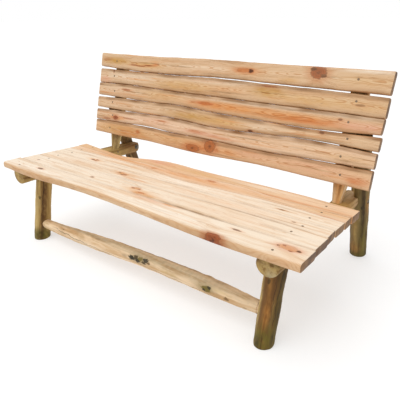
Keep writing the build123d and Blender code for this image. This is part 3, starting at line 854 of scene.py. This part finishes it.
def spot(side, joint, face_x, outwards):
    """The round seat of a bolt head or washer: a bar along the bench from the seat, away from the joint."""
    turn = np.linspace(0, 2 * np.pi, SPOT_SIDES, endpoint=False)[:: side * outwards]
    rim = np.array([side * face_x, joint[1], joint[2]]) + SPOT_RADIUS * np.stack(
        [0 * turn, np.cos(turn), np.sin(turn)], axis=-1
    )
    far = rim.copy()
    far[:, 0] = side * (face_x + outwards * SPOT_REACH)
    after = [*range(1, SPOT_SIDES), 0]
    ring = [(i, after[i], SPOT_SIDES + after[i], SPOT_SIDES + i) for i in range(SPOT_SIDES)]
    ends = [tuple(range(SPOT_SIDES))[::-1], tuple(range(SPOT_SIDES, 2 * SPOT_SIDES))]
    return add_object("cutter", new_mesh("cutter", np.concatenate([rim, far]), ring + ends))


def carve(piece, cutters):
    """Cuts the cutters out of a piece for good, splits large faces, and drops slivers and cutters."""
    for cutter in cutters:
        cut = piece.modifiers.new("cut", "BOOLEAN")
        cut.operation = "DIFFERENCE"
        cut.solver = "EXACT"
        cut.object = cutter
    bpy.context.view_layer.update()
    old = piece.data
    mesh = bpy.data.meshes.new_from_object(piece.evaluated_get(bpy.context.evaluated_depsgraph_get()))
    piece.modifiers.clear()
    piece.data = mesh
    bpy.data.meshes.remove(old)
    mesh.name = piece.name
    clean = bmesh.new()
    clean.from_mesh(mesh)
    bmesh.ops.triangulate(clean, faces=[face for face in clean.faces if len(face.verts) > 4])
    bmesh.ops.dissolve_degenerate(clean, dist=SLIVER, edges=clean.edges[:])
    clean.to_mesh(mesh)
    clean.free()
    for cutter in cutters:
        spare = cutter.data
        bpy.data.objects.remove(cutter)
        bpy.data.meshes.remove(spare)
    shade_smooth(mesh, 32)


def paint_pole(
    mesh, start, axis, seed, base, stains, cracks, knots, mottle=("bark", "olive_light", "olive"), mottled=0.4
):
    """What a pole's pine reads at each point: wood coordinates along and across it, its tone, which
    mottling and stains tint, its distance from the nearest knot in that knot's half sizes, and for each
    drying crack how far aside it is, on which side of the pole, and how far it has opened."""
    flat_list = np.empty(len(mesh.vertices) * 3, np.float32)
    mesh.vertices.foreach_get("co", flat_list)
    place = flat_list.reshape(-1, 3).astype(float) - start
    first, second = pole_frame(axis)
    along, across, aside = place @ axis, place @ first, place @ second
    turn = np.arctan2(aside, across)
    radius = np.hypot(across, aside)
    tone = np.ones((len(along), 4))
    tone[:, :3] = TINTS[base]
    breakup = ripple(along, 0.04 * np.cos(turn), seed + 5, 0.08, 0.02) + ripple(
        along, 0.04 * np.sin(turn), seed + 6, 0.05, 0.02
    )
    draw = np.random.default_rng(seed)
    patches = [
        (
            draw.uniform(along.min(), along.max()), draw.uniform(0, 360), draw.uniform(0.015, 0.06),
            draw.uniform(0.004, 0.009), draw.choice(mottle), mottled * draw.uniform(0.4, 1),
        )
        for _ in range(70)
    ]
    for spot_along, spot_turn, length, width, tint, amount in [*patches, *stains]:
        swing = short_way(turn - math.radians(spot_turn)) * POLE_GIRTH
        reach = ((along - spot_along) / length) ** 2 + (swing / width) ** 2
        wash(tone, tint, np.clip(amount * np.exp(-(reach**1.3)) * (1 + 0.25 * breakup), 0, 1))
    knot = np.full(len(along), NO_KNOT)
    knot_tint = np.zeros((len(along), 4))
    for spot_along, spot_turn, length, width, tint, amount in knots:
        swing = short_way(turn - math.radians(spot_turn)) * POLE_GIRTH
        reach = np.hypot((along - spot_along) / length, swing / width)
        knot_tint[reach < knot] = [*TINTS[tint], amount]
        knot = np.minimum(knot, reach)
    add_layer(mesh, "grain", np.stack([along + seed, across, aside], axis=-1))
    add_layer(mesh, "tone", tone)
    add_layer(mesh, "knot", knot[:, None])
    add_layer(mesh, "knot_tint", knot_tint)
    for key, (crack_from, crack_to, crack_turn, spiral) in zip(("crack_a", "crack_b"), cracks):
        middle, length = (crack_from + crack_to) / 2, crack_to - crack_from
        line = math.radians(crack_turn) + spiral * (along - middle)
        swing = short_way(turn - line - 0.11 * ripple(along, 0 * along, seed + 8, 0.11, 1))
        opened = falloff(np.abs(along - middle), length * 0.3, length * 0.55)
        add_layer(mesh, key, np.stack([radius * np.sin(swing), np.cos(swing), opened], axis=-1))


TINTS.update({
    "olive": srgb(170, 140, 82),
    "olive_light": srgb(200, 174, 116),
    "olive_grey": srgb(164, 154, 128),
    "bark": srgb(104, 74, 36),
    "bark_dark": srgb(62, 48, 20),
    "shade": srgb(116, 96, 54),
    "moss": srgb(104, 90, 26),
    "green_foot": srgb(92, 82, 24),
    "ochre": srgb(188, 132, 62),
    "fox": srgb(128, 84, 44),
    "russet": srgb(106, 71, 31),
    "straw": srgb(226, 198, 162),
    "straw_light": srgb(236, 209, 176),
    "pitch": srgb(38, 36, 22),
})


def round_pine(name, streak_tint, streak_amount, fleck_amount):
    """Peeled round pine: long fibres, blotches, dark flecks, knots and black drying cracks."""
    pine = Shader(name)
    grain = pine.attribute("grain", "Vector")
    tone = pine.attribute("tone", "Color")
    fibre = pine.noise(grain, (9, 260, 260), detail=4, roughness=0.6)
    streak = pine.noise(grain, (3.2, 48, 48), detail=4, roughness=0.6)
    blotch = pine.noise(grain, (11, 26, 26), detail=3)
    fleck = pine.noise(grain, (60, 190, 190), detail=2)
    face = pine.stain(pine.remap(streak, 0.47, 0.66, 0.0, streak_amount), tone, streak_tint)
    face = pine.stain(pine.remap(streak, 0.50, 0.34, 0.0, 0.35), face, np.array([1.5, 1.5, 1.48]))
    face = pine.stain(pine.remap(blotch, 0.5, 0.72, 0.0, 0.45), face, srgb(206, 188, 150))
    face = pine.stain(pine.remap(fibre, 0.55, 0.75, 0.0, 0.4), face, srgb(176, 150, 120))
    face = pine.blend(pine.remap(fleck, 0.66, 0.76, 0.0, fleck_amount), face, TINTS["bark_dark"])
    wobble = pine.less(pine.noise(grain, (100, 140, 140), detail=3), 0.5)
    reach = pine.plus(pine.attribute("knot"), pine.times(wobble, 1.8))
    inside = pine.times(pine.remap(reach, 1.15, 0.75), pine.attribute("knot_tint", "Alpha"))
    face = pine.blend(inside, face, pine.attribute("knot_tint", "Color"))
    jitter = pine.times(pine.less(pine.noise(grain, (45, 45, 45), detail=2), 0.5), 0.005)
    slit = 0.0
    for key, width in (("crack_a", 0.0011), ("crack_b", 0.0007)):
        aside, facing, opened = pine.node("SeparateXYZ", {0: pine.attribute(key, "Vector")})
        away = pine.math("ABSOLUTE", pine.plus(aside, jitter))
        gap = pine.times(pine.remap(away, width * 1.6, width * 0.5), opened)
        slit = pine.math("MAXIMUM", slit, pine.times(gap, pine.remap(facing, 0.2, 0.5)))
    face = pine.blend(pine.times(slit, 0.85), face, TINTS["soot"])
    height = pine.plus(pine.times(fibre, 0.5), pine.times(blotch, 0.4))
    height = pine.less(height, pine.times(slit, 2.5))
    roughness = pine.remap(streak, 0.3, 0.7, 0.62, 0.78, "LINEAR")
    return pine.finish(face, roughness, height, 0.45, 0.0012, 0.3)


treated_pine = round_pine("treated_pine", srgb(170, 138, 96), 0.75, 0.22)
light_pine = round_pine("light_pine", srgb(216, 188, 144), 0.6, 0.2)

along_bench = np.array([1.0, 0, 0])
seat_up, back_up = seat_face[1], back_face[1]
front_up = np.array([0, math.sin(FRONT_LEAN), math.cos(FRONT_LEAN)])
rear_up = np.array([0, -math.sin(REAR_LEAN), math.cos(REAR_LEAN)])
underside = (on_face(seat_face, 0, 0, SLAB_THICKNESS), seat_face[2])
floor_plane = (np.zeros(3), np.array([0, 0, 1.0]))

# Stains, cracks and knots on each pole; on the bearers' front ends, a few dark stains are painted
# shade under the seat. Places are along it from its lower or front end and round it in degrees, from
# the bench's right end towards its front or underside. Sizes are in metres.
pole_marks = {
    "left_bearer": dict(
        base="olive",
        stains=[
            # The bark stain at 345 degrees near the front end is painted shade, on the side that faces in
            # under the seat.
            (0.02, 250, 0.05, 0.05, "olive_light", 0.7), (0.08, 345, 0.12, 0.04, "bark", 0.8),
            (0.3, 0, 0.25, 0.05, "olive", 0.7), (0.8, 0, 0.12, 0.2, "fox", 0.6),
        ],
        cracks=[(0.15, 0.55, 20, 0.3), (0.5, 0.8, 200, 0.2)],
        knots=[(0.25, 30, 0.012, 0.01, "bark", 0.8), (0.62, 170, 0.014, 0.01, "bark", 0.8)],
    ),
    "right_bearer": dict(
        base="olive",
        stains=[
            # The bark and bark_dark stains at 205 and 335 degrees on the front end are painted shade, on the
            # upper flanks just under the slabs.
            (0, 205, 0.03, 0.02, "bark", 0.8), (0, 335, 0.03, 0.02, "bark_dark", 0.7),
            (0, 60, 0.03, 0.03, "olive_grey", 0.6), (0.3, 0, 0.3, 0.05, "olive", 0.9),
            (0.6, 0, 0.2, 0.04, "ochre", 0.5), (0.8, 0, 0.1, 0.2, "straw", 0.5),
        ],
        cracks=[(0.1, 0.5, 340, 0.3), (0.4, 0.8, 190, -0.2)],
        knots=[(0.2, 10, 0.012, 0.01, "bark", 0.8), (0.55, 350, 0.014, 0.01, "bark", 0.8)],
    ),
    "left_front_leg": dict(
        base="olive",
        stains=[
            (0.25, 245, 0.3, 0.036, "olive_light", 0.9), (0.22, 335, 0.3, 0.016, "bark", 0.95),
            (0.25, 375, 0.2, 0.012, "olive", 0.8), (0.02, 270, 0.04, 0.3, "green_foot", 0.9),
            (0.43, 270, 0.04, 0.3, "bark", 0.35), (0.2, 120, 0.3, 0.05, "olive", 0.8),
        ],
        cracks=[(0.05, 0.38, 322, 0.3), (0.1, 0.3, 100, 0.4)],
        knots=[(0.24, 300, 0.01, 0.008, "bark_dark", 0.7), (0.13, 240, 0.006, 0.005, "bark", 0.5)],
    ),
    "right_front_leg": dict(
        base="russet",
        mottle=("bark_dark", "ochre", "shade", "bark_dark"),
        mottled=0.8,
        stains=[
            (0.27, 278, 0.06, 0.007, "ochre", 0.4), (0.14, 284, 0.06, 0.014, "ochre", 0.6),
            (0.2, 352, 0.3, 0.024, "moss", 0.6), (0.3, 340, 0.08, 0.01, "bark_dark", 0.8),
            (0.14, 350, 0.07, 0.012, "bark_dark", 0.7), (0.22, 222, 0.3, 0.013, "olive_light", 0.8),
            (0.03, 290, 0.06, 0.3, "moss", 0.85), (0.04, 340, 0.04, 0.012, "bark_dark", 0.7),
            (0.015, 250, 0.03, 0.016, "pitch", 0.6), (0.2, 120, 0.3, 0.05, "olive", 0.6),
            (0.42, 290, 0.03, 0.2, "bark_dark", 0.5),
        ],
        cracks=[(0.08, 0.36, 330, 0.5), (0.12, 0.3, 306, -0.4)],
        knots=[(0.27, 268, 0.01, 0.006, "bark_dark", 0.6)],
    ),
    "left_rear_leg": dict(
        base="bark",
        stains=[
            (0.3, 200, 0.3, 0.03, "olive", 0.6), (0.03, 0, 0.05, 0.3, "green_foot", 0.8),
            (0.55, 0, 0.15, 0.3, "olive", 0.4),
        ],
        cracks=[(0.1, 0.5, 330, 0.3), (0.3, 0.6, 120, 0.3)],
        knots=[(0.3, 300, 0.012, 0.01, "bark_dark", 0.8)],
    ),
    "right_rear_leg": dict(
        base="shade",
        stains=[
            (0.4, 238, 0.2, 0.012, "olive_light", 0.7), (0.45, 20, 0.3, 0.012, "olive", 0.9),
            (0.2, 262, 0.1, 0.012, "olive", 0.7), (0.3, 310, 0.3, 0.012, "bark_dark", 0.7),
            (0.1, 330, 0.14, 0.03, "moss", 0.8), (0.05, 260, 0.06, 0.03, "ochre", 0.4),
            (0.35, 345, 0.06, 0.012, "ochre", 0.5), (0.02, 0, 0.03, 0.3, "green_foot", 0.9),
            (0.55, 90, 0.2, 0.05, "olive_light", 0.5),
        ],
        cracks=[(0.12, 0.45, 316, 0.5), (0.3, 0.65, 20, 0.3)],
        knots=[(0.34, 306, 0.012, 0.01, "bark_dark", 0.9), (0.6, 350, 0.01, 0.008, "bark_dark", 0.6)],
    ),
    "left_back_post": dict(
        base="olive_light",
        stains=[
            (0.08, 330, 0.2, 0.026, "bark", 0.8), (0.3, 90, 0.3, 0.06, "olive", 0.7),
            (0.2, 180, 0.2, 0.02, "straw", 0.5),
        ],
        cracks=[(0.1, 0.42, 60, 0.3), (0.2, 0.45, 120, 0.2)],
        knots=[(0.3, 100, 0.014, 0.01, "bark", 0.8)],
    ),
    "right_back_post": dict(
        base="honey",
        stains=[
            (0, 300, 0.2, 0.012, "amber", 0.7), (0.02, 340, 0.2, 0.012, "straw", 0.8),
            (0.02, 225, 0.2, 0.016, "straw", 0.7), (0.02, 262, 0.2, 0.008, "ochre", 0.6),
            (0.3, 90, 0.3, 0.06, "olive", 0.8),
        ],
        cracks=[(0, 0.4, 70, 0.3), (0.15, 0.45, 110, 0.2)],
        knots=[(0.25, 80, 0.014, 0.01, "bark", 0.8)],
    ),
    "front_stretcher": dict(
        base="straw",
        stains=[
            (0.35, 100, 0.5, 0.02, "olive_grey", 0.55), (1.05, 100, 0.4, 0.02, "olive_grey", 0.55),
            (0.7, 180, 0.6, 0.02, "straw_light", 0.6), (0.2, 160, 0.12, 0.01, "tan", 0.6),
            (0.95, 200, 0.2, 0.014, "tan", 0.5), (1.3, 150, 0.1, 0.02, "tan", 0.5),
            (0.5, 270, 0.6, 0.03, "tan", 0.6), (0.84, 134, 0.06, 0.018, "moss", 0.55),
            (1.23, 132, 0.05, 0.016, "moss", 0.6), (1, 72, 0.3, 0.007, "bark", 0.6),
            (0.4, 74, 0.3, 0.006, "olive", 0.6),
        ],
        cracks=[(0.15, 0.75, 190, 0.1), (0.8, 1.35, 165, 0.1)],
        knots=[
            (0.798, 140, 0.021, 0.0105, "pitch", 0.95), (0.822, 128, 0.016, 0.007, "bark_dark", 0.9),
            (0.836, 143, 0.018, 0.008, "pitch", 0.9), (0.852, 131, 0.018, 0.009, "moss", 0.75),
            (0.874, 141, 0.013, 0.007, "bark_dark", 0.85), (0.883, 127, 0.019, 0.009, "pitch", 0.9),
            (0.905, 134, 0.01, 0.005, "bark", 0.8), (1.234, 134, 0.021, 0.011, "moss", 0.8),
            (1.226, 140, 0.01, 0.008, "pitch", 0.9), (1.248, 126, 0.011, 0.006, "pitch", 0.9),
            (0.25, 165, 0.008, 0.004, "bark_dark", 0.7), (1.335, 142, 0.012, 0.007, "bark", 0.75),
            (1.42, 150, 0.01, 0.003, "bark_dark", 0.5),
        ],
    ),
}


def place_pole(node, skin, cutters, start, axis, seed, material):
    """Cuts and paints a pole's skin and puts it in the place of its solid."""
    carve(skin, cutters)
    skin.data.materials.clear()
    skin.data.materials.append(material)
    paint_pole(skin.data, start, axis, seed, **pole_marks[node])
    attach(skin, "root")
    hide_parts(node)


def treated_log(node, start, axis, seed, profile, ends, eases, cutters, bumps=(), sway=0.002):
    """One treated log, from its profile and its two end planes."""
    skin = pole_skin(f"{node}_pole", start, axis, profile, ends, eases, seed, bumps, sway)
    place_pole(node, skin, cutters, start, axis, seed, treated_pine)


for side, hand in HANDS.items():
    bearer_start = on_face(seat_face, side * BEARER_X, BEARER_SETBACK, SLAB_THICKNESS + BEARER_FLAT)
    front_foot = np.array([side * FRONT_LEG_X, seat_front + FRONT_FOOT, 0])
    rear_foot = np.array([side * REAR_LEG_X, seat_front + REAR_FOOT, 0])
    post_heart = on_face(back_face, side * POST_X, 0, POST_HEART_DEPTH)
    front_joint = crossing(front_foot, front_up, bearer_start, seat_up)
    rear_joint = crossing(rear_foot, rear_up, bearer_start, seat_up)
    brace_joint = crossing(rear_foot, rear_up, post_heart, back_up)
    front_spots = (FRONT_LEG_X - front_radii[side][1] + SPOT_DEPTH, BEARER_X + BEARER_RADIUS - SPOT_DEPTH)
    rear_spots = (BEARER_X - BEARER_RADIUS + SPOT_DEPTH, REAR_LEG_X + rear_radii[side][0] - SPOT_DEPTH)
    brace_spots = (POST_X - POST_RADIUS + SPOT_DEPTH, REAR_LEG_X + rear_radii[side][1] - SPOT_DEPTH)
    seed = 300 + 10 * side

    treated_log(
        f"{hand}_bearer", bearer_start, seat_up, seed,
        [
            (0, BEARER_RADIUS), (BEARER_LENGTH / 2, BEARER_RADIUS + 0.0005),
            (BEARER_LENGTH, BEARER_RADIUS - 0.001),
        ],
        [(bearer_start, seat_up), (bearer_start + BEARER_LENGTH * seat_up, seat_up)], (0.005, 0.020),
        [
            flat(seat_face, side * BEARER_X, 0.4, 1.2, 0.1),
            lap(side, FRONT_LAP_X, front_joint, front_up, max(front_radii[side]), -1),
            lap(side, REAR_LAP_X, rear_joint, rear_up, max(rear_radii[side]), 1),
            spot(side, front_joint, front_spots[1], 1),
            spot(side, rear_joint, rear_spots[0], -1),
        ],
    )

    foot, head = front_radii[side]
    front_length = SEAT_HEIGHT / math.cos(FRONT_LEAN)
    treated_log(
        f"{hand}_front_leg", front_foot, front_up, seed + 2,
        [(0, foot), (front_length / 2, (foot + head) / 2 + LEG_SWELL), (front_length, head)],
        [floor_plane, underside], (0.005, 0.0008),
        [
            lap(side, FRONT_LAP_X, front_joint, seat_up, BEARER_RADIUS, 1),
            spot(side, front_joint, front_spots[0], -1),
        ],
        [
            (0.24, 300, 0.020, 0.012, 0.0016), (0.07, 285, 0.016, 0.012, 0.0014),
            (0.30, 120, 0.02, 0.012, 0.0016),
        ],
    )

    foot, head = rear_radii[side]
    rear_length = rear_tops[side] / math.cos(REAR_LEAN)
    treated_log(
        f"{hand}_rear_leg", rear_foot, rear_up, seed + 4,
        [(0, foot), (rear_length / 2, (foot + head) / 2 + LEG_SWELL), (rear_length, head)],
        [floor_plane, (rear_foot + rear_length * rear_up, rear_up)], (0.006, 0.008),
        [
            flat(back_face, side * REAR_LEG_X, 0.25, 1.0, 0.2),
            lap(side, REAR_LAP_X, rear_joint, seat_up, BEARER_RADIUS, -1),
            lap(side, BRACE_LAP_X, brace_joint, back_up, POST_RADIUS, -1),
            spot(side, rear_joint, rear_spots[1], 1),
            spot(side, brace_joint, brace_spots[1], 1),
        ],
        [
            (0.16, 300, 0.020, 0.012, 0.0018), (0.30, 335, 0.018, 0.012, 0.0015),
            (0.42, 110, 0.02, 0.012, 0.0018),
        ],
    )

    # The post is whittled down over its taper to the tenon that stands in the bearer
    post_foot = crossing(post_heart, back_up, underside[0], seat_up) - back_up * POST_TENON_LENGTH
    sunk = (post_heart - post_foot) @ back_up
    shoulder = POST_TENON_LENGTH + POST_EASE - sunk
    whittled = [
        (shoulder + POST_TAPER * part, POST_TENON_RADIUS + (POST_RADIUS - POST_TENON_RADIUS) * grown)
        for part, grown in ((0, 0), (0.5, 0.46), (0.8, 0.80), (1, 1))
    ]
    treated_log(
        f"{hand}_back_post", post_heart, back_up, seed + 6,
        [(-sunk, POST_TENON_RADIUS), *whittled, (POST_TOP, POST_RADIUS)],
        [(post_foot, back_up), (post_heart + POST_TOP * back_up, back_up)], (0.001, 0.005),
        [
            flat(back_face, side * POST_X, 0.25, 1.2, 0.2),
            lap(side, BRACE_LAP_X, brace_joint, rear_up, max(rear_radii[side]), 1),
            spot(side, brace_joint, brace_spots[0], -1),
        ],
        [(0.26, 100, 0.022, 0.014, 0.002), (0.38, 60, 0.02, 0.012, 0.0015)], 0.0,
    )

# The stretcher bows up a little between its two tenons, so its rings follow a curved heart line. Its
# widths are given at even steps from the left tenon to the right one.
STRETCHER_HALF = 0.7052
STRETCHER_TENON = 0.024
STRETCHER_END = 0.764
STRETCHER_SHOULDER = 0.0005
STRETCHER_RISE = 0.014
STRETCHER_GIRTH = 0.036
STRETCHER_LUMPS = 0.0012
STRETCHER_SEED = 401
stretcher_widths = np.array([52, 62, 72, 76, 73, 72, 74, 70, 54]) / 1000
hearts = [
    np.array([0, seat_front + FRONT_FOOT, 0]) + front_up * height / front_up[2] for height in (0.087, 0.131)
]
body = np.linspace(-STRETCHER_HALF, STRETCHER_HALF, 353)
past_tenon = STRETCHER_HALF + STRETCHER_SHOULDER
x = np.concatenate([[-STRETCHER_END, -past_tenon], body, [past_tenon, STRETCHER_END]])
share = np.clip((x / STRETCHER_HALF + 1) / 2, 0, 1)
eased = share * share * (3 - 2 * share)
heart = hearts[0] * (1 - eased[:, None]) + hearts[1] * eased[:, None]
heart[:, 0] = x
heart[:, 2] += STRETCHER_RISE * 16 * (share * (1 - share)) ** 2
girth = flowing(share, np.linspace(0, 1, 9), stretcher_widths) / 2
girth[[0, 1, -2, -1]] = STRETCHER_TENON
turn = np.linspace(0, 2 * np.pi, POLE_COLUMNS, endpoint=False)
place = heart[:, :1] + 0 * turn
lumps = ripple(place, STRETCHER_GIRTH * np.cos(turn) + 0 * place, STRETCHER_SEED, 0.13, 0.07) + ripple(
    place, STRETCHER_GIRTH * np.sin(turn) + 0 * place, STRETCHER_SEED + 1, 0.17, 0.06
)
fade = falloff(np.abs(place), STRETCHER_HALF - 0.04, STRETCHER_HALF)
rounds = girth[:, None] + STRETCHER_LUMPS * lumps * fade
for lump_x, lump_turn, lump_length, height in (
    (0.03, 150, 0.030, 0.0026), (0.08, 165, 0.022, 0.0022), (0.44, 170, 0.024, 0.0026),
    (0.56, 160, 0.018, 0.002), (0.45, 60, 0.02, 0.002), (-0.5, 20, 0.02, 0.002),
):
    aside = short_way(turn - math.radians(lump_turn)) * STRETCHER_GIRTH
    reach = ((place - lump_x) / lump_length) ** 2 + (aside / 0.012) ** 2
    rounds = rounds + height * np.exp(-(reach**1.5))
first, second = pole_frame(along_bench)
spokes = np.cos(turn)[:, None] * first + np.sin(turn)[:, None] * second
stretcher = capped_tube("front_stretcher_pole", heart[:, None, :] + rounds[..., None] * spokes, {})
left_end = (hearts[0] + hearts[1]) / 2 - along_bench * STRETCHER_END
place_pole(
    "front_stretcher", stretcher, [], left_end, along_bench, STRETCHER_SEED, light_pine
)

# ---------------------------------------------------------------------------------------------------
# Fixings. Nails, coach bolts, washers and nuts keep their solids and get dull zinc, darker on the nails
# than on the bolts.
# ---------------------------------------------------------------------------------------------------
def zinc_coat(name, tint, roughness):
    """Dull zinc with darker patches, which take 0.62 of its light."""
    zinc = Shader(name)
    patch = zinc.noise(zinc.node("TexCoord", {})["Object"], (420, 420, 420))
    face = zinc.blend(zinc.remap(patch, 0.35, 0.7), tint, tint * 0.62)
    zinc.surface.inputs["Metallic"].default_value = 0.75
    return zinc.finish(face, roughness, patch, 0.15, 0.0003, 0.5)


nail_zinc = zinc_coat("dark_zinc", srgb(150, 130, 108), 0.6)
bolt_zinc = zinc_coat("dull_zinc", srgb(132, 128, 120), 0.5)
for node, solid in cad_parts.items():
    if "nails" in node or "bolt" in node:
        solid.data.materials.clear()
        solid.data.materials.append(nail_zinc if "nails" in node else bolt_zinc)

# ---------------------------------------------------------------------------------------------------
# Floor, light and camera. A plain pale floor, soft white light from above and in front, and a sky that
# lights the bench softly and shows as plain white behind it.
# ---------------------------------------------------------------------------------------------------
FLOOR_REACH = 150
corners = FLOOR_REACH * np.array([[-1, -1, 0], [1, -1, 0], [1, 1, 0], [-1, 1, 0]])
floor = add_object("floor", new_mesh("floor", corners, [(0, 1, 2, 3)]))
pale = Shader("pale_floor")
speck = pale.noise(pale.node("TexCoord", {})["Object"], (40, 40, 40))
pale.finish(pale.blend(speck, srgb(184, 184, 184), srgb(186, 186, 186)), 0.9, speck, 0.02, 0.001, 0.1)
pale.surface.inputs["Emission Color"].default_value = (1.0, 1.0, 1.0, 1)
pale.surface.inputs["Emission Strength"].default_value = 0.52
floor.data.materials.append(pale.material)

world = bpy.data.worlds.new("studio")
world.use_nodes = True
sky = world.node_tree.nodes["Background"]
sky.inputs["Color"].default_value = (1.0, 1.0, 1.0, 1)
seen = world.node_tree.nodes.new("ShaderNodeLightPath")
strength = world.node_tree.nodes.new("ShaderNodeMapRange")
strength.inputs["To Min"].default_value = 0.66
strength.inputs["To Max"].default_value = 1.0
world.node_tree.links.new(seen.outputs["Is Camera Ray"], strength.inputs["Value"])
world.node_tree.links.new(strength.outputs["Result"], sky.inputs["Strength"])
bpy.context.scene.world = world
bpy.context.scene.view_settings.view_transform = "Standard"

SUN_SOURCE = (-0.45, -0.55, 2.0)
sun = bpy.data.lights.new("key", "SUN")
sun.energy = 1.7
sun.angle = math.radians(60)
sun.color = (1.0, 0.995, 0.985)
sun_from_top = math.atan2(math.hypot(*SUN_SOURCE[:2]), SUN_SOURCE[2])
sun_round = math.atan2(SUN_SOURCE[1], SUN_SOURCE[0]) + math.pi / 2
add_object("key", sun).rotation_euler = (sun_from_top, 0, sun_round)

CAMERA_AZIMUTH = math.radians(35.8)
CAMERA_ELEVATION = math.radians(26.1)
CAMERA_ROLL = math.radians(-0.6)
CAMERA_PLACE = (1.3577, seat_front - 0.9975, 1.1442)
backwards = np.array([
    math.sin(CAMERA_AZIMUTH) * math.cos(CAMERA_ELEVATION),
    -math.cos(CAMERA_AZIMUTH) * math.cos(CAMERA_ELEVATION),
    math.sin(CAMERA_ELEVATION),
])
level = np.array([math.cos(CAMERA_AZIMUTH), math.sin(CAMERA_AZIMUTH), 0])
upright = np.cross(backwards, level)
right = math.cos(CAMERA_ROLL) * level + math.sin(CAMERA_ROLL) * upright
up = math.cos(CAMERA_ROLL) * upright - math.sin(CAMERA_ROLL) * level
view = bpy.data.cameras.new("camera")
view.sensor_width = 36
view.lens = 36.86
view.shift_x = -0.0775
view.shift_y = 0.039
view.clip_end = 100
camera = add_object("camera", view)
turned = np.eye(4)
turned[:3, :3] = np.stack([right, up, backwards], axis=1)
turned[:3, 3] = CAMERA_PLACE
camera.matrix_world = Matrix(turned.tolist())
bpy.context.scene.camera = camera
